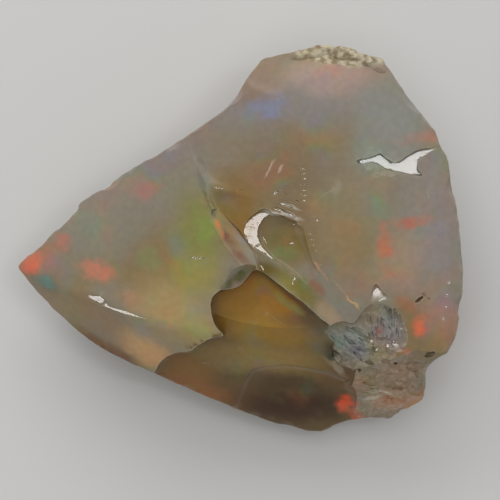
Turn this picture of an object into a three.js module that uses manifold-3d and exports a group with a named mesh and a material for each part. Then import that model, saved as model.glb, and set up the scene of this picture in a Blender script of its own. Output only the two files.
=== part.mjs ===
// A rough precious opal: one broken piece of a nodule, lying on its flattest break.
// Every face is a fracture. A blank the shape of the whole piece is cut by dished and domed
// surfaces, the way flakes leave the real stone, and its sharp edges are where two of them meet.
// Millimetres, +Z up. X and Y lie in the resting plane, with +Y towards the crusted end.
import * as THREE from "three";
import { mergeVertices } from "three/addons/utils/BufferGeometryUtils.js";
import Module from "manifold-3d";

const wasm = await Module();
wasm.setup();

// Driving dimensions of the blank
const BLANK_TOP = 14; // above every face, all cut away
const OUTLINE_STEPS = 2; // smooth steps between two points of the outline
const EDGE_STEPS = 3; // and between two points of a scar's edge
const BASE_CENTRE = new THREE.Vector2(0.9, -1.4); // middle of the resting face
const KEEL_BLUR = 7; // outline steps that the lower rings are averaged over, each way
const KEEL_PROFILE = [ // width over the outline's, height over the rim's, from the rim down
  [1, 1], [0.985, 0.82], [0.93, 0.52], [0.8, 0.22], [0.54, 0],
];
const EDGE_CLEARANCE = 0.04; // a scar's wall ends this far above the surface around it
const SKIN_TOLERANCE = 0.045; // flatter detail than this is merged into its neighbours

// Driving dimensions of the cuts
const CUT_THICKNESS = 14; // how far a round cutter reaches above its own face
const ROUND_RINGS = 4; // rings of a round cutter, more in the largest and fewer in a chip
const SIDE_STEP = 1.6; // spacing of its sides
const DISH_RINGS = [1, 0.985, 0.965, 0.935, 0.88, 0.76, 0.5]; // shares of a dish's outline

// The outline seen from above, clockwise from the pointed end.
const OUTLINE = [
  [-15.0, -1.9], [-14.5, -1.3], [-13.6, -0.65], [-12.6, 0.4], [-12.05, 0.8], [-11.0, 1.9],
  [-10.8, 2.35], [-9.7, 3.1], [-8.85, 3.45], [-8.45, 3.95], [-6.5, 5.15], [-5.85, 5.45],
  [-3.85, 6.7], [-1.15, 8.55], [-0.25, 9.45], [0.4, 10.65], [1.4, 11.9], [2.1, 12.25],
  [3.5, 12.55], [4.5, 12.8], [5.25, 13.05], [5.9, 12.8], [6.4, 12.9], [7.2, 12.8],
  [8.25, 12.4], [9.5, 12.15], [9.8, 11.7], [10.4, 10.85], [11.15, 9.75], [12.1, 8.55],
  [12.9, 7.55], [13.4, 6.5], [13.9, 5.45], [14.15, 3.8], [14.55, 2.0], [14.8, -0.05],
  [15.0, -2.4], [14.95, -3.85], [14.65, -4.9], [14.7, -5.4], [14.5, -6.45], [14.0, -7.6],
  [13.3, -8.0], [12.7, -8.5], [12.5, -9.0], [12.5, -10.0], [12.35, -10.8], [11.4, -11.55],
  [10.25, -12.15], [8.8, -12.1], [7.55, -12.25], [6.5, -12.55], [5.75, -13.0], [5.0, -13.05],
  [4.2, -12.95], [3.55, -12.7], [2.4, -12.5], [1.1, -12.05], [0.0, -11.65], [-1.15, -11.1],
  [-2.1, -10.75], [-4.05, -9.9], [-5.95, -9.0], [-7.75, -8.2], [-9.7, -7.15], [-11.3, -5.9],
  [-12.6, -4.7], [-13.8, -3.45], [-14.5, -2.55],
];

// A fracture face passes through at, climbs by slope (rise per millimetre along X and Y), and is
// dished by radius, or domed where radius is negative. reach is how far it runs from at.
const MAIN_FACES = {
  north_west: { at: [-2, 6, 9.78], slope: [0.235, -0.143], radius: -42, reach: 26 },
  dome: { at: [2, 0, 10.4], slope: [0, 0], radius: -42, reach: 26 },
  south_west_bevel: { at: [-8.2, -5.0, 7.9], slope: [0.52, 0.88], radius: -30, reach: 17 },
  crust_bevel: { at: [5.6, 12.2, 8.2], slope: [0.1, -0.9], radius: -14, reach: 4.5 },
};

// A scar with an outline of its own: edge runs clockwise around at, its floor is a fracture face,
// and a wall climbs from the floor to the surface around the edge. The wall narrows as power grows.
const HOLLOW_EDGE = [
  [-6.9, -11.0], [-5.95, -9.3], [-5.38, -8.3], [-4.7, -7.8], [-4.05, -7.6], [-3.3, -7.5],
  [-2.7, -7.05], [-1.95, -6.65], [-1.15, -6.45], [-1.55, -5.95], [-1.85, -5.3], [-1.98, -4.45],
  [-1.7, -3.45], [-1.05, -2.6], [-0.4, -2.15], [0.2, -1.9], [0.95, -1.95], [1.5, -2.2],
  [2.4, -2.85], [3.35, -3.6], [4.4, -4.4], [5.4, -5.3], [6.4, -6.1], [6.5, -6.95],
  [6.1, -7.6], [6.7, -8.3], [7.8, -9.0], [7.6, -10.2], [7.8, -11.5], [8.2, -13.5],
  [4.0, -15.0], [-1.4, -14.2],
];
const SCARS = {
  broad: {
    at: [5, 1.5, 9.66], slope: [-0.036, 0.019], radius: -60, power: 16,
    edge: [
      [0.45, -1.65], [-0.35, -1.5], [-0.94, -0.7], [-1.48, 0.95], [-1.88, 2.3], [-2.35, 3.65],
      [-2.85, 4.8], [-3.4, 6.4], [-3.0, 9.5], [0, 14], [8, 17], [16, 13], [18, 0],
      [18, -9], [13, -11.5], [8.8, -7.6], [6.7, -5.3], [4.8, -3.9], [3.1, -2.75], [1.6, -1.9],
    ],
  },
  inner: {
    at: [3.0, 0.1, 8.8], slope: [0.09, 0.0], radius: 26, power: 9,
    edge: [
      [0.47, 0.27], [0.61, 0.94], [1.0, 1.6], [1.55, 2.08], [2.35, 2.1], [3.25, 1.8],
      [4.15, 1.3], [5.0, 0.6], [5.7, -0.5], [6.3, -1.9], [6.6, -3.4], [5.9, -3.7],
      [4.9, -3.1], [3.9, -2.35], [3.0, -1.75], [2.15, -1.35], [1.48, -1.14], [0.87, -0.74],
    ],
  },
  amber: { at: [1.8, -5.0, 8.2], slope: [0.04, 0.03], radius: 34, power: 22, edge: HOLLOW_EDGE },
  olive: { at: [1.6, -8.7, 6.1], slope: [0.13, 0.78], radius: -60, power: 20, edge: HOLLOW_EDGE },
  foot: {
    at: [3.6, -10.2, 4.85], slope: [0.1, 0.7], radius: -30, power: 9,
    edge: [
      [-0.8, -14], [-0.15, -10.9], [0.5, -9.15], [1.35, -8.6], [3.2, -8.45], [4.9, -8.7],
      [6.7, -9.2], [8.2, -10.2], [8.4, -12], [8, -14.5], [3.5, -15.5],
    ],
  },
  feather: {
    at: [9.1, -6.7, 7.7], slope: [-0.03, 0.22], radius: 40, power: 6,
    edge: [
      [6.4, -6.1], [7.0, -5.2], [8.2, -4.3], [9.75, -4.1], [10.9, -4.75], [11.4, -6.1],
      [10.8, -7.8], [9.5, -8.9], [8.0, -9.2], [6.8, -8.4], [6.1, -7.4],
    ],
  },
  south_east: {
    at: [10.4, -10.2, 5.4], slope: [0.02, 0.7], radius: -26, power: 10,
    edge: [
      [7.3, -8.9], [8.8, -8.5], [10.6, -7.9], [12.8, -7.1], [15.5, -7.5], [15, -12],
      [11, -15], [7.4, -14], [7.6, -10.9],
    ],
  },
};

// Breaks of the underside: which way each faces (azimuth in degrees from +X), how far below the
// horizon it looks, and how deep it cuts into the rounded keel of the blank.
const UNDER_FACES = {
  east: { azimuth: -6, below: 36, depth: 0.8, radius: 80, reach: 12 },
  north_east: { azimuth: 38, below: 42, depth: 1.0, radius: -60, reach: 11 },
  north: { azimuth: 84, below: 38, depth: 0.9, radius: -40, reach: 10 },
  north_west: { azimuth: 128, below: 44, depth: 1.1, radius: 60, reach: 12 },
  west: { azimuth: 176, below: 58, depth: 0.7, radius: 90, reach: 12 },
  south_west: { azimuth: 232, below: 46, depth: 0.8, radius: 60, reach: 12 },
  south_east: { azimuth: 316, below: 42, depth: 0.9, radius: 45, reach: 10 },
};

// Dished flakes struck from the sides below the rim: share of the outline's length from the
// pointed end, height over the rim's, degrees below the horizon, bite, dish radius and reach.
const SIDE_SCARS = [
  [0.06, 0.5, 18, 0.5, 9, 4.0], [0.135, 0.42, 22, 0.8, 11, 4.6], [0.215, 0.5, 14, 0.7, 9, 3.8],
  [0.285, 0.45, 20, 0.7, 10, 4.2], [0.37, 0.45, 16, 0.6, 9, 3.8], [0.435, 0.42, 24, 0.8, 12, 4.6],
  [0.5, 0.5, 12, 0.7, 9, 4.0], [0.565, 0.42, 22, 0.7, 10, 4.2], [0.62, 0.5, 14, 0.4, 8, 3.2],
  [0.675, 0.36, 22, 0.3, 6, 2.6], [0.86, 0.36, 26, 0.4, 7, 3.2], [0.94, 0.42, 20, 0.4, 8, 3.2],
];

// Small flakes off the sharp edges: the run of the outline they lie on (shares of its length from
// the pointed end), how many, their reach and how deep they bite.
const EDGE_CHIPS = [
  { from: 0.37, to: 0.59, count: 18, reach: 0.7, bite: 0.14 },
  { from: 0.6, to: 0.7, count: 9, reach: 0.9, bite: 0.18 },
  { from: 0.745, to: 0.79, count: 3, reach: 0.6, bite: 0.1 },
  { from: 0.05, to: 0.22, count: 6, reach: 0.7, bite: 0.1 },
  { from: 0.82, to: 0.96, count: 4, reach: 0.6, bite: 0.1 },
];

// Splinters gone from the crushed patch beside the hollow: where each groove starts, the way it
// runs in degrees from +X, its length and its width.
const SPLINTERS = [
  [6.7, -7.3, 6, 3.0, 0.5], [6.9, -6.9, 24, 3.2, 0.45], [7.1, -6.4, 42, 2.4, 0.5],
  [7.2, -5.9, 60, 1.5, 0.4], [8.3, -6.2, 72, 1.7, 0.4], [9.2, -6.6, 80, 1.9, 0.45],
  [9.9, -6.6, 62, 1.6, 0.4], [7.6, -8.0, -4, 2.2, 0.4], [9.0, -7.6, 16, 1.8, 0.4],
  [8.8, -10.4, 62, 1.8, 0.4], [10.2, -10.8, 74, 2.0, 0.45], [11.2, -9.9, 100, 1.6, 0.4],
];
const SPLINTER_DEPTH = 0.25;

const PITS = [
  [6.15, -7.55, 0.5], [7.85, -8.8, 0.3], [12.75, -7.75, 0.3],
];
const PIT_DEPTH = 0.6;

// Ragged lumps of host rock left on the crusted end.
const CRUST_LUMPS = [
  [4.2, 12.2, 1.0], [5.4, 12.45, 1.1], [6.9, 12.3, 1.1], [8.3, 11.9, 1.0],
];

function smoothClosed(points) {
  const corners = points.map(([x, y]) => new THREE.Vector3(x, y, 0));
  return new THREE.CatmullRomCurve3(corners, true, "catmullrom", 0.5);
}

// A number between 0 and 1 that looks random but is the same every time.
function scatter(i, salt) {
  const wave = Math.sin(i * 12.9898 + salt * 78.233) * 43758.5453;
  return wave - Math.floor(wave);
}

function normalOf({ slope }) {
  return new THREE.Vector3(-slope[0], -slope[1], 1).normalize();
}

// Height of a face above a point of the resting plane.
function heightOf(face, x, y) {
  const normal = normalOf(face);
  const point = new THREE.Vector3(x, y, face.at[2]);
  for (let i = 0; i < 12; i++) {
    const from = point.clone().sub(new THREE.Vector3(...face.at));
    const lift = from.dot(normal);
    const across = from.lengthSq() - lift * lift;
    point.z += (across / (2 * face.radius) - lift) / normal.z;
  }
  return point.z;
}

// Height of the top above a point once the main faces and the given scars have been cut.
function heightAfter(scars, x, y) {
  const heights = Object.values(MAIN_FACES).map((face) =>
    Math.hypot(x - face.at[0], y - face.at[1]) < face.reach ? heightOf(face, x, y) : BLANK_TOP,
  );
  for (const scar of scars) {
    const { share, climb } = placeIn(scar, x, y);
    if (share <= 1) heights.push(heightOf(scar, x, y) + climb * share ** scar.power);
  }
  return Math.min(...heights);
}

// Where a point lies between a scar's middle (0) and its edge (1), and how high the wall climbs there.
function placeIn(scar, x, y) {
  const [x0, y0] = scar.at;
  const [dx, dy] = [x - x0, y - y0];
  for (let i = 0; i < scar.rim.length; i++) {
    const [a, b] = [scar.rim[i], scar.rim[(i + 1) % scar.rim.length]];
    const [ax, ay, ex, ey] = [a.x - x0, a.y - y0, b.x - a.x, b.y - a.y];
    const across = dx * ey - dy * ex;
    const reach = (ax * ey - ay * ex) / across;
    const along = (ax * dy - ay * dx) / across;
    if (reach > 0 && along >= 0 && along <= 1) {
      return { share: 1 / reach, climb: a.climb + (b.climb - a.climb) * along };
    }
  }
  return { share: 0, climb: 0 };
}

// Every scar in the order it was struck, each with its edge measured on the surface it found.
function struckScars() {
  const struck = [];
  for (const scar of Object.values(SCARS)) {
    const points = smoothClosed(scar.edge).getPoints(scar.edge.length * EDGE_STEPS).slice(0, -1);
    const rim = points.map(({ x, y }) => ({
      x,
      y,
      climb: Math.max(0, heightAfter(struck, x, y) - heightOf(scar, x, y)) + EDGE_CLEARANCE,
    }));
    struck.push({ ...scar, rim });
  }
  return struck;
}

function solidOf(geometry) {
  const bare = geometry.clone();
  bare.deleteAttribute("normal");
  bare.deleteAttribute("uv");
  const merged = mergeVertices(bare, 1e-5);
  return new wasm.Manifold(
    new wasm.Mesh({
      numProp: 3,
      vertProperties: merged.attributes.position.array,
      triVerts: new Uint32Array(merged.index.array),
    }),
  );
}

// A stack of rings of points, top one first, capped at both ends by a middle point.
function stacked(rings, topMiddle, bottomMiddle) {
  const count = rings[0].length;
  const top = rings.length * count;
  const faces = [];
  for (let i = 0; i < count; i++) {
    const next = (i + 1) % count;
    faces.push(top, next, i);
    for (let ring = 0; ring < rings.length - 1; ring++) {
      const [a, b] = [ring * count + i, ring * count + next];
      faces.push(a, b, b + count, a, b + count, a + count);
    }
    const last = (rings.length - 1) * count;
    faces.push(top + 1, last + i, last + next);
  }
  const skin = new THREE.BufferGeometry();
  const positions = [...rings.flat(2), ...topMiddle, ...bottomMiddle];
  skin.setAttribute("position", new THREE.Float32BufferAttribute(positions, 3));
  skin.setIndex(faces);
  return solidOf(skin);
}

// The solid that a round flake took away: a plug whose underside is the fracture face.
function roundCutter({ at, normal, radius, reach }) {
  const profile = [];
  const rings = ROUND_RINGS * (reach > 15 ? 2.5 : reach < 3 ? 0.5 : 1);
  for (let i = 0; i <= rings; i++) {
    const r = (reach * i) / rings;
    profile.push(new THREE.Vector2(r, (r * r) / (2 * radius)));
  }
  const back = Math.min(CUT_THICKNESS, reach * 4);
  profile.push(new THREE.Vector2(reach, back), new THREE.Vector2(0, back));
  const sides = Math.max(9, Math.round((2 * Math.PI * Math.min(reach, 9)) / SIDE_STEP));
  const plug = new THREE.LatheGeometry(profile, sides);
  plug.rotateX(Math.PI / 2);
  plug.applyQuaternion(new THREE.Quaternion().setFromUnitVectors(new THREE.Vector3(0, 0, 1), normal));
  plug.translate(...at);
  return solidOf(plug);
}

// The solid that a scar with its own outline took away.
function dishCutter(scar) {
  const [x0, y0] = scar.at;
  const rings = [scar.rim.map(({ x, y }) => [x, y, BLANK_TOP])];
  for (const share of DISH_RINGS) {
    rings.push(
      scar.rim.map((point) => {
        const x = x0 + (point.x - x0) * share;
        const y = y0 + (point.y - y0) * share;
        return [x, y, heightOf(scar, x, y) + point.climb * share ** scar.power];
      }),
    );
  }
  return stacked(rings, [x0, y0, BLANK_TOP], scar.at);
}

// Rings of the outline from above every face down to the resting face. The lower rings follow the
// outline only loosely, as the breaks below don't repeat the chips of the rim.
function blankRings(scars) {
  const points = smoothClosed(OUTLINE).getPoints(OUTLINE.length * OUTLINE_STEPS).slice(0, -1);
  const rim = points.map(({ x, y }) => new THREE.Vector3(x, y, heightAfter(scars, x, y)));
  const loose = rim.map((_, i) => {
    const sum = new THREE.Vector3();
    for (let k = -KEEL_BLUR; k <= KEEL_BLUR; k++) sum.add(rim.at((i + k) % rim.length));
    return sum.divideScalar(2 * KEEL_BLUR + 1);
  });
  const rings = [rim.map(({ x, y }) => [x, y, BLANK_TOP])];
  KEEL_PROFILE.forEach(([share, height], ring) => {
    rings.push(
      rim.map((point, k) => {
        const { x, y, z } = point.clone().lerp(loose[k], Math.min(1, ring / 2));
        return [
          BASE_CENTRE.x + (x - BASE_CENTRE.x) * share,
          BASE_CENTRE.y + (y - BASE_CENTRE.y) * share,
          z * height,
        ];
      }),
    );
  });
  return rings;
}

// A break of the underside bites into the keel by its depth, wherever the keel bulges that way.
function underCutter(keel, { azimuth, below, depth, radius, reach }) {
  const [turn, dip] = [azimuth, below].map(THREE.MathUtils.degToRad);
  const level = Math.cos(dip);
  const normal = new THREE.Vector3(Math.cos(turn) * level, Math.sin(turn) * level, -Math.sin(dip));
  const bulge = keel.reduce((best, point) => (point.dot(normal) > best.dot(normal) ? point : best));
  const at = bulge.clone().addScaledVector(normal, -depth);
  return roundCutter({ at: at.toArray(), normal, radius, reach });
}

function sideCutter(scars, [along, level, below, bite, radius, reach]) {
  const curve = smoothClosed(OUTLINE);
  const { x, y } = curve.getPointAt(along);
  const tangent = curve.getTangentAt(along + 0.01).add(curve.getTangentAt(along - 0.01));
  const outward = new THREE.Vector3(-tangent.y, tangent.x, 0).normalize();
  const normal = outward.clone().setZ(-Math.tan(THREE.MathUtils.degToRad(below))).normalize();
  const share = 0.93 + 0.055 * Math.min(1, Math.max(0, (level - 0.52) / 0.3));
  const at = new THREE.Vector3(
    BASE_CENTRE.x + (x - BASE_CENTRE.x) * share,
    BASE_CENTRE.y + (y - BASE_CENTRE.y) * share,
    heightAfter(scars, x, y) * level,
  );
  at.addScaledVector(normal, -bite);
  return roundCutter({ at: at.toArray(), normal, radius, reach });
}

function edgeChips(scars) {
  const curve = smoothClosed(OUTLINE);
  const chips = [];
  EDGE_CHIPS.forEach(({ from, to, count, reach, bite }, run) => {
    for (let i = 0; i < count; i++) {
      const along = from + ((to - from) * (i + 0.2 + 0.6 * scatter(i, run))) / count;
      const { x, y } = curve.getPointAt(along);
      const tangent = curve.getTangentAt(along);
      const outward = new THREE.Vector3(-tangent.y, tangent.x, 0).normalize();
      const size = reach * (0.6 + 0.8 * scatter(i, run + 10));
      const normal = outward.clone().setZ(0.4 + 1.0 * scatter(i, run + 20));
      normal.addScaledVector(tangent, scatter(i, run + 30) - 0.5).normalize();
      const edge = new THREE.Vector3(x, y, heightAfter(scars, x - outward.x * 0.1, y - outward.y * 0.1));
      const at = edge.addScaledVector(normal, -bite * (0.5 + scatter(i, run + 40)));
      chips.push(roundCutter({ at: at.toArray(), normal, radius: size * 2.2, reach: size * 2 }));
    }
  });
  return chips;
}

// A splinter leaves a groove of three sides, deepest in the middle of its length.
function splinterCutter(scars, [x, y, degrees, length, width]) {
  const spindle = new THREE.SphereGeometry(1, 4, 6);
  spindle.rotateZ(Math.PI / 2);
  spindle.scale(length / 2, width / 2, SPLINTER_DEPTH);
  spindle.rotateX(0.4 * (scatter(length, width) - 0.5));
  spindle.rotateZ(THREE.MathUtils.degToRad(degrees));
  const turn = THREE.MathUtils.degToRad(degrees);
  const [mx, my] = [x + (Math.cos(turn) * length) / 2, y + (Math.sin(turn) * length) / 2];
  spindle.translate(mx, my, heightAfter(scars, mx, my) + 0.03);
  return solidOf(spindle);
}

function pitCutter(scars, [x, y, size]) {
  const ball = new THREE.DodecahedronGeometry(size, 0);
  ball.rotateX(x);
  ball.scale(1.2, 0.8, PIT_DEPTH / size);
  ball.translate(x, y, heightAfter(scars, x, y) - PIT_DEPTH * 0.2);
  return solidOf(ball);
}

function crustLump(scars, [x, y, size], index) {
  const rock = new THREE.IcosahedronGeometry(size, 2);
  const spots = rock.attributes.position;
  for (let i = 0; i < spots.count; i++) {
    const [px, py, pz] = [spots.getX(i), spots.getY(i), spots.getZ(i)];
    const rough = 0.8 + 0.35 * scatter(Math.round(px * 40) + Math.round(py * 53), Math.round(pz * 37) + index);
    spots.setXYZ(i, px * rough, py * rough * 0.55, pz * rough * 0.45);
  }
  rock.rotateZ(-0.12 * index);
  rock.translate(x, y, heightAfter(scars, x, y) - 0.15);
  return solidOf(rock);
}

function stone() {
  const scars = struckScars();
  const rings = blankRings(scars);
  const [x, y] = BASE_CENTRE.toArray();
  let body = stacked(rings, [x, y, BLANK_TOP], [x, y, 0]);
  const keel = rings.slice(2).flat().map((point) => new THREE.Vector3(...point));
  const cutters = [
    ...Object.values(MAIN_FACES).map((face) => roundCutter({ ...face, normal: normalOf(face) })),
    ...scars.map(dishCutter),
    ...Object.values(UNDER_FACES).map((face) => underCutter(keel, face)),
    ...SIDE_SCARS.map((scar) => sideCutter(scars, scar)),
    ...edgeChips(scars),
    ...SPLINTERS.map((splinter) => splinterCutter(scars, splinter)),
    ...PITS.map((pit) => pitCutter(scars, pit)),
  ];
  for (const cutter of cutters) body = body.subtract(cutter);
  CRUST_LUMPS.forEach((lump, index) => {
    body = body.add(crustLump(scars, lump, index));
  });
  const pieces = body.simplify(SKIN_TOLERANCE).decompose(); // a cut can set a crumb free
  return pieces.sort((a, b) => b.volume() - a.volume())[0];
}

function geometryOf(solid) {
  const mesh = solid.getMesh();
  const geometry = new THREE.BufferGeometry();
  geometry.setAttribute("position", new THREE.BufferAttribute(mesh.vertProperties, 3));
  geometry.setIndex(new THREE.BufferAttribute(mesh.triVerts, 1));
  geometry.computeBoundingBox();
  const middle = geometry.boundingBox.getCenter(new THREE.Vector3());
  geometry.translate(-middle.x, -middle.y, -geometry.boundingBox.min.z);
  geometry.computeVertexNormals();
  return geometry;
}

const opal = new THREE.Mesh(
  geometryOf(stone()),
  new THREE.MeshStandardMaterial({ color: 0x8c7b63, roughness: 0.15, metalness: 0 }),
);
opal.name = "opal";

const part = new THREE.Group();
part.add(opal);

export default part;
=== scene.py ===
# %% [markdown]
# A piece of rough opal, straight from the ground. Opal has no grain, so it breaks like glass: each
# blow takes off a shell-shaped flake and leaves a smooth, dished scar. This lesson makes the stone
# the same way. A blank with the outline of the whole piece is cut by one scar after another, and
# then gets a material that is milky outside, honey-coloured inside and lit by flashes of colour.

# %% The frame
from math import cos, pi, radians, sin, tan

import bmesh
import bpy
import numpy as np
from mathutils import Matrix, Vector, noise


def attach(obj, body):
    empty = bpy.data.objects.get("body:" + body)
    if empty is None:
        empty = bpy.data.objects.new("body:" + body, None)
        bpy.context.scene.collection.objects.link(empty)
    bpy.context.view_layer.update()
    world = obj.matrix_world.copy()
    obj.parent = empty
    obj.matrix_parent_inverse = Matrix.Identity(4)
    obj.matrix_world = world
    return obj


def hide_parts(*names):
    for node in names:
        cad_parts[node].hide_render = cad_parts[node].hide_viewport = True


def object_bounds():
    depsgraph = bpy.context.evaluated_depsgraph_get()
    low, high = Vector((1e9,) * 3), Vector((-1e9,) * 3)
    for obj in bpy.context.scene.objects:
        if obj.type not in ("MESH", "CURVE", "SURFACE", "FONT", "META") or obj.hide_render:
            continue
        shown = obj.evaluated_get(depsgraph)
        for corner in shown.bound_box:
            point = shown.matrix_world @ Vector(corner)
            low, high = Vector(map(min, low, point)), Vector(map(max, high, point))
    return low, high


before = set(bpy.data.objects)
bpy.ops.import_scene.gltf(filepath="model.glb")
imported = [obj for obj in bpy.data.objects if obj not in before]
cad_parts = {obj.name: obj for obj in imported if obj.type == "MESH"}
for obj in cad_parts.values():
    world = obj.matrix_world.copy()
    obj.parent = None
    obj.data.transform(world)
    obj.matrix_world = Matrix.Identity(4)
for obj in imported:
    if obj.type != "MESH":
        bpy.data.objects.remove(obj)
noise.seed_set(7)  # so that the noise, and with it the stone, is the same on every run
cad_box = [list(corner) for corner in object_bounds()]
print("box of the solid:", cad_box)

# %% [markdown]
# Everything is worked out in millimetres, because a stone of 30 mm is awkward to think about in
# metres, and turned to metres at the very end. The outline is the stone's edge seen from above. It
# starts at the pointed end and runs clockwise. A smooth curve joins its points, and a little noise
# frets the curve, because a broken edge is never clean.

# %% The outline
MM = 0.001
BLANK_TOP = 14.0  # above every face, all cut away
BASE_MIDDLE = np.array([0.9, -1.4])  # middle of the resting face
OUTLINE = [
    (-15.0, -1.9), (-14.5, -1.3), (-13.6, -0.65), (-12.6, 0.4), (-12.05, 0.8), (-11.0, 1.9),
    (-10.8, 2.35), (-9.7, 3.1), (-8.85, 3.45), (-8.45, 3.95), (-6.5, 5.15), (-5.85, 5.45),
    (-3.85, 6.7), (-1.15, 8.55), (-0.25, 9.45), (0.4, 10.65), (1.4, 11.9), (2.1, 12.25),
    (3.5, 12.55), (4.5, 12.8), (5.25, 13.05), (5.9, 12.8), (6.4, 12.9), (7.2, 12.8),
    (8.25, 12.4), (9.5, 12.15), (9.8, 11.7), (10.4, 10.85), (11.15, 9.75), (12.1, 8.55),
    (12.9, 7.55), (13.4, 6.5), (13.9, 5.45), (14.15, 3.8), (14.55, 2.0), (14.8, -0.05),
    (15.0, -2.4), (14.95, -3.85), (14.65, -4.9), (14.7, -5.4), (14.5, -6.45), (14.0, -7.6),
    (13.3, -8.0), (12.7, -8.5), (12.5, -9.0), (12.5, -10.0), (12.35, -10.8), (11.4, -11.55),
    (10.25, -12.15), (8.8, -12.1), (7.55, -12.25), (6.5, -12.55), (5.75, -13.0), (5.0, -13.05),
    (4.2, -12.95), (3.55, -12.7), (2.4, -12.5), (1.1, -12.05), (0.0, -11.65), (-1.15, -11.1),
    (-2.1, -10.75), (-4.05, -9.9), (-5.95, -9.0), (-7.75, -8.2), (-9.7, -7.15), (-11.3, -5.9),
    (-12.6, -4.7), (-13.8, -3.45), (-14.5, -2.55),
]


def smooth_loop(points, steps):
    """A closed curve through the points, with steps stretches between two of them."""
    corners = np.array(points, dtype=float)
    before, after, beyond = (np.roll(corners, shift, axis=0) for shift in (1, -1, -2))
    curve = []
    for t in np.arange(steps) / steps:
        bend = 2 * before - 5 * corners + 4 * after - beyond
        twist = -before + 3 * corners - 3 * after + beyond
        curve.append((2 * corners + (after - before) * t + bend * t**2 + twist * t**3) / 2)
    return np.stack(curve, axis=1).reshape(-1, 2)


def fretted(loop, size, depth):
    """The loop with each point moved by noise of the given size."""
    moved = []
    for x, y in loop:
        push = noise.noise_vector(Vector((x, y, 0)) / size)
        moved.append((x + push.x * depth, y + push.y * depth))
    return np.array(moved)


outline = fretted(smooth_loop(OUTLINE, 6), 0.45, 0.05)
print("outline:", len(outline), "points,", np.ptp(outline, axis=0).round(2), "mm")

# %% [markdown]
# A fracture face is nearly flat, but never quite: it is a shallow bowl or dome. Three things place
# it: a point that it passes through, its slope there, and its radius, which is negative for a dome.
# The height above a point of the table then comes from a quadratic equation. The main faces meet
# in rounded ridges, so they are joined by a soft minimum, which rounds the corner between two
# heights over a given width.

# %% The main faces
MAIN_FACES = {
    "north_west": {"at": (-2, 6, 9.78), "slope": (0.235, -0.143), "radius": -42},
    "dome": {"at": (2, 0, 10.4), "slope": (0, 0), "radius": -42, "blend": 0.25},
    "south_west_bevel": {
        "at": (-9.01, -4.37, 7.75), "slope": (0.668, 0.804), "radius": -42, "blend": 0.3,
    },
    "crust_bevel": {
        "at": (5.6, 12.2, 8.2), "slope": (0.1, -0.9), "radius": -14, "blend": 0.3, "reach": 3.4,
    },
}
FADE = 0.35  # how fast a face of small reach lifts off beyond it, per mm


def face_height(face, x, y):
    """Height of a fracture face above the points (x, y)."""
    normal = Vector((-face["slope"][0], -face["slope"][1], 1)).normalized()
    dx, dy, radius = x - face["at"][0], y - face["at"][1], face["radius"]
    lean = dx * normal.x + dy * normal.y
    a = 1 - normal.z**2
    b = 2 * normal.z * (lean + radius)
    c = dx**2 + dy**2 - lean**2 - 2 * radius * lean
    root = np.sqrt(np.maximum(b**2 - 4 * a * c, 0))
    return face["at"][2] + 2 * c / (b + np.sign(b) * root)


def soft_min(a, b, width):
    """The lower of two heights, rounded over width where they cross."""
    h = np.clip(0.5 + 0.5 * (b - a) / width, 0, 1)
    return b * (1 - h) + a * h - width * h * (1 - h)


def waves(x, y, size, depth, seed=0):
    """Gentle unevenness of a fracture face, as a height."""
    spots = np.column_stack([np.ravel(x), np.ravel(y)])
    heights = [noise.noise(Vector((px / size, py / size, seed))) for px, py in spots]
    return depth * np.array(heights).reshape(np.shape(x))


def main_height(x, y):
    """Height of the main faces together."""
    top = np.full(np.shape(x), BLANK_TOP)
    for face in MAIN_FACES.values():
        away = np.hypot(x - face["at"][0], y - face["at"][1]) - face.get("reach", 40)
        height = face_height(face, x, y) + FADE * np.maximum(away, 0) ** 2
        top = soft_min(top, height, face.get("blend", 0.01))
    return top


print("height over the middle:", main_height(np.array([0.0]), np.array([0.0])))

# %% [markdown]
# Each scar on the top has an outline of its own, drawn clockwise as the flake left it. Its floor is
# a fracture face, and around its edge a steep wall climbs to the surface that the flake was struck
# from. The scars are listed in the order they were struck, so a later one can cut an earlier one.
# A few thin flakes lie at just the slope that mirrors a lamp up to the camera. They are the white
# shapes: a bird, a crescent, a streak on the ridge, and rows of tiny glints.

# %% The scars of the top
HOLLOW_EDGE = [
    (-6.9, -11.0), (-5.95, -9.3), (-5.38, -8.3), (-4.7, -7.8), (-4.05, -7.6), (-3.3, -7.5),
    (-2.7, -7.05), (-1.95, -6.65), (-1.15, -6.45), (-1.55, -5.95), (-1.85, -5.3), (-1.98, -4.45),
    (-1.8, -3.85), (-1.35, -3.45), (-0.7, -3.35), (0.0, -3.1), (0.45, -2.6), (0.9, -2.1), (1.5, -2.2),
    (2.4, -2.85), (3.35, -3.6), (4.4, -4.4), (5.4, -5.3), (6.4, -6.1), (6.5, -6.95),
    (6.1, -7.6), (6.7, -8.3), (7.8, -9.0), (7.6, -10.2), (7.8, -11.5), (8.2, -13.5),
    (4.0, -15.0), (-1.4, -14.2),
]
BROAD_EDGE = [
    (0.67, -0.87), (-0.2, 0.4), (-0.87, 1.08), (-1.28, 1.48), (-1.88, 2.3), (-2.35, 3.65),
    (-2.85, 4.8), (-3.4, 6.4), (-3.0, 9.5), (0, 14), (8, 17), (16, 13), (18, 0), (18, -9),
    (13, -11.5), (8.4, -8.4), (6.0, -6.6), (4.2, -5.2), (2.7, -3.9), (1.7, -2.9), (1.3, -2.1),
    (1.14, -1.82),
]
BIRD_LEFT_EDGE = [
    (7.87, 5.05), (7.92, 5.31), (8.54, 5.4), (9.0, 5.56), (9.35, 5.74), (9.75, 5.42),
    (10.15, 5.15), (10.2, 4.7), (9.9, 4.55), (9.5, 4.82), (9.08, 5.05), (8.54, 5.12),
]
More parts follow.
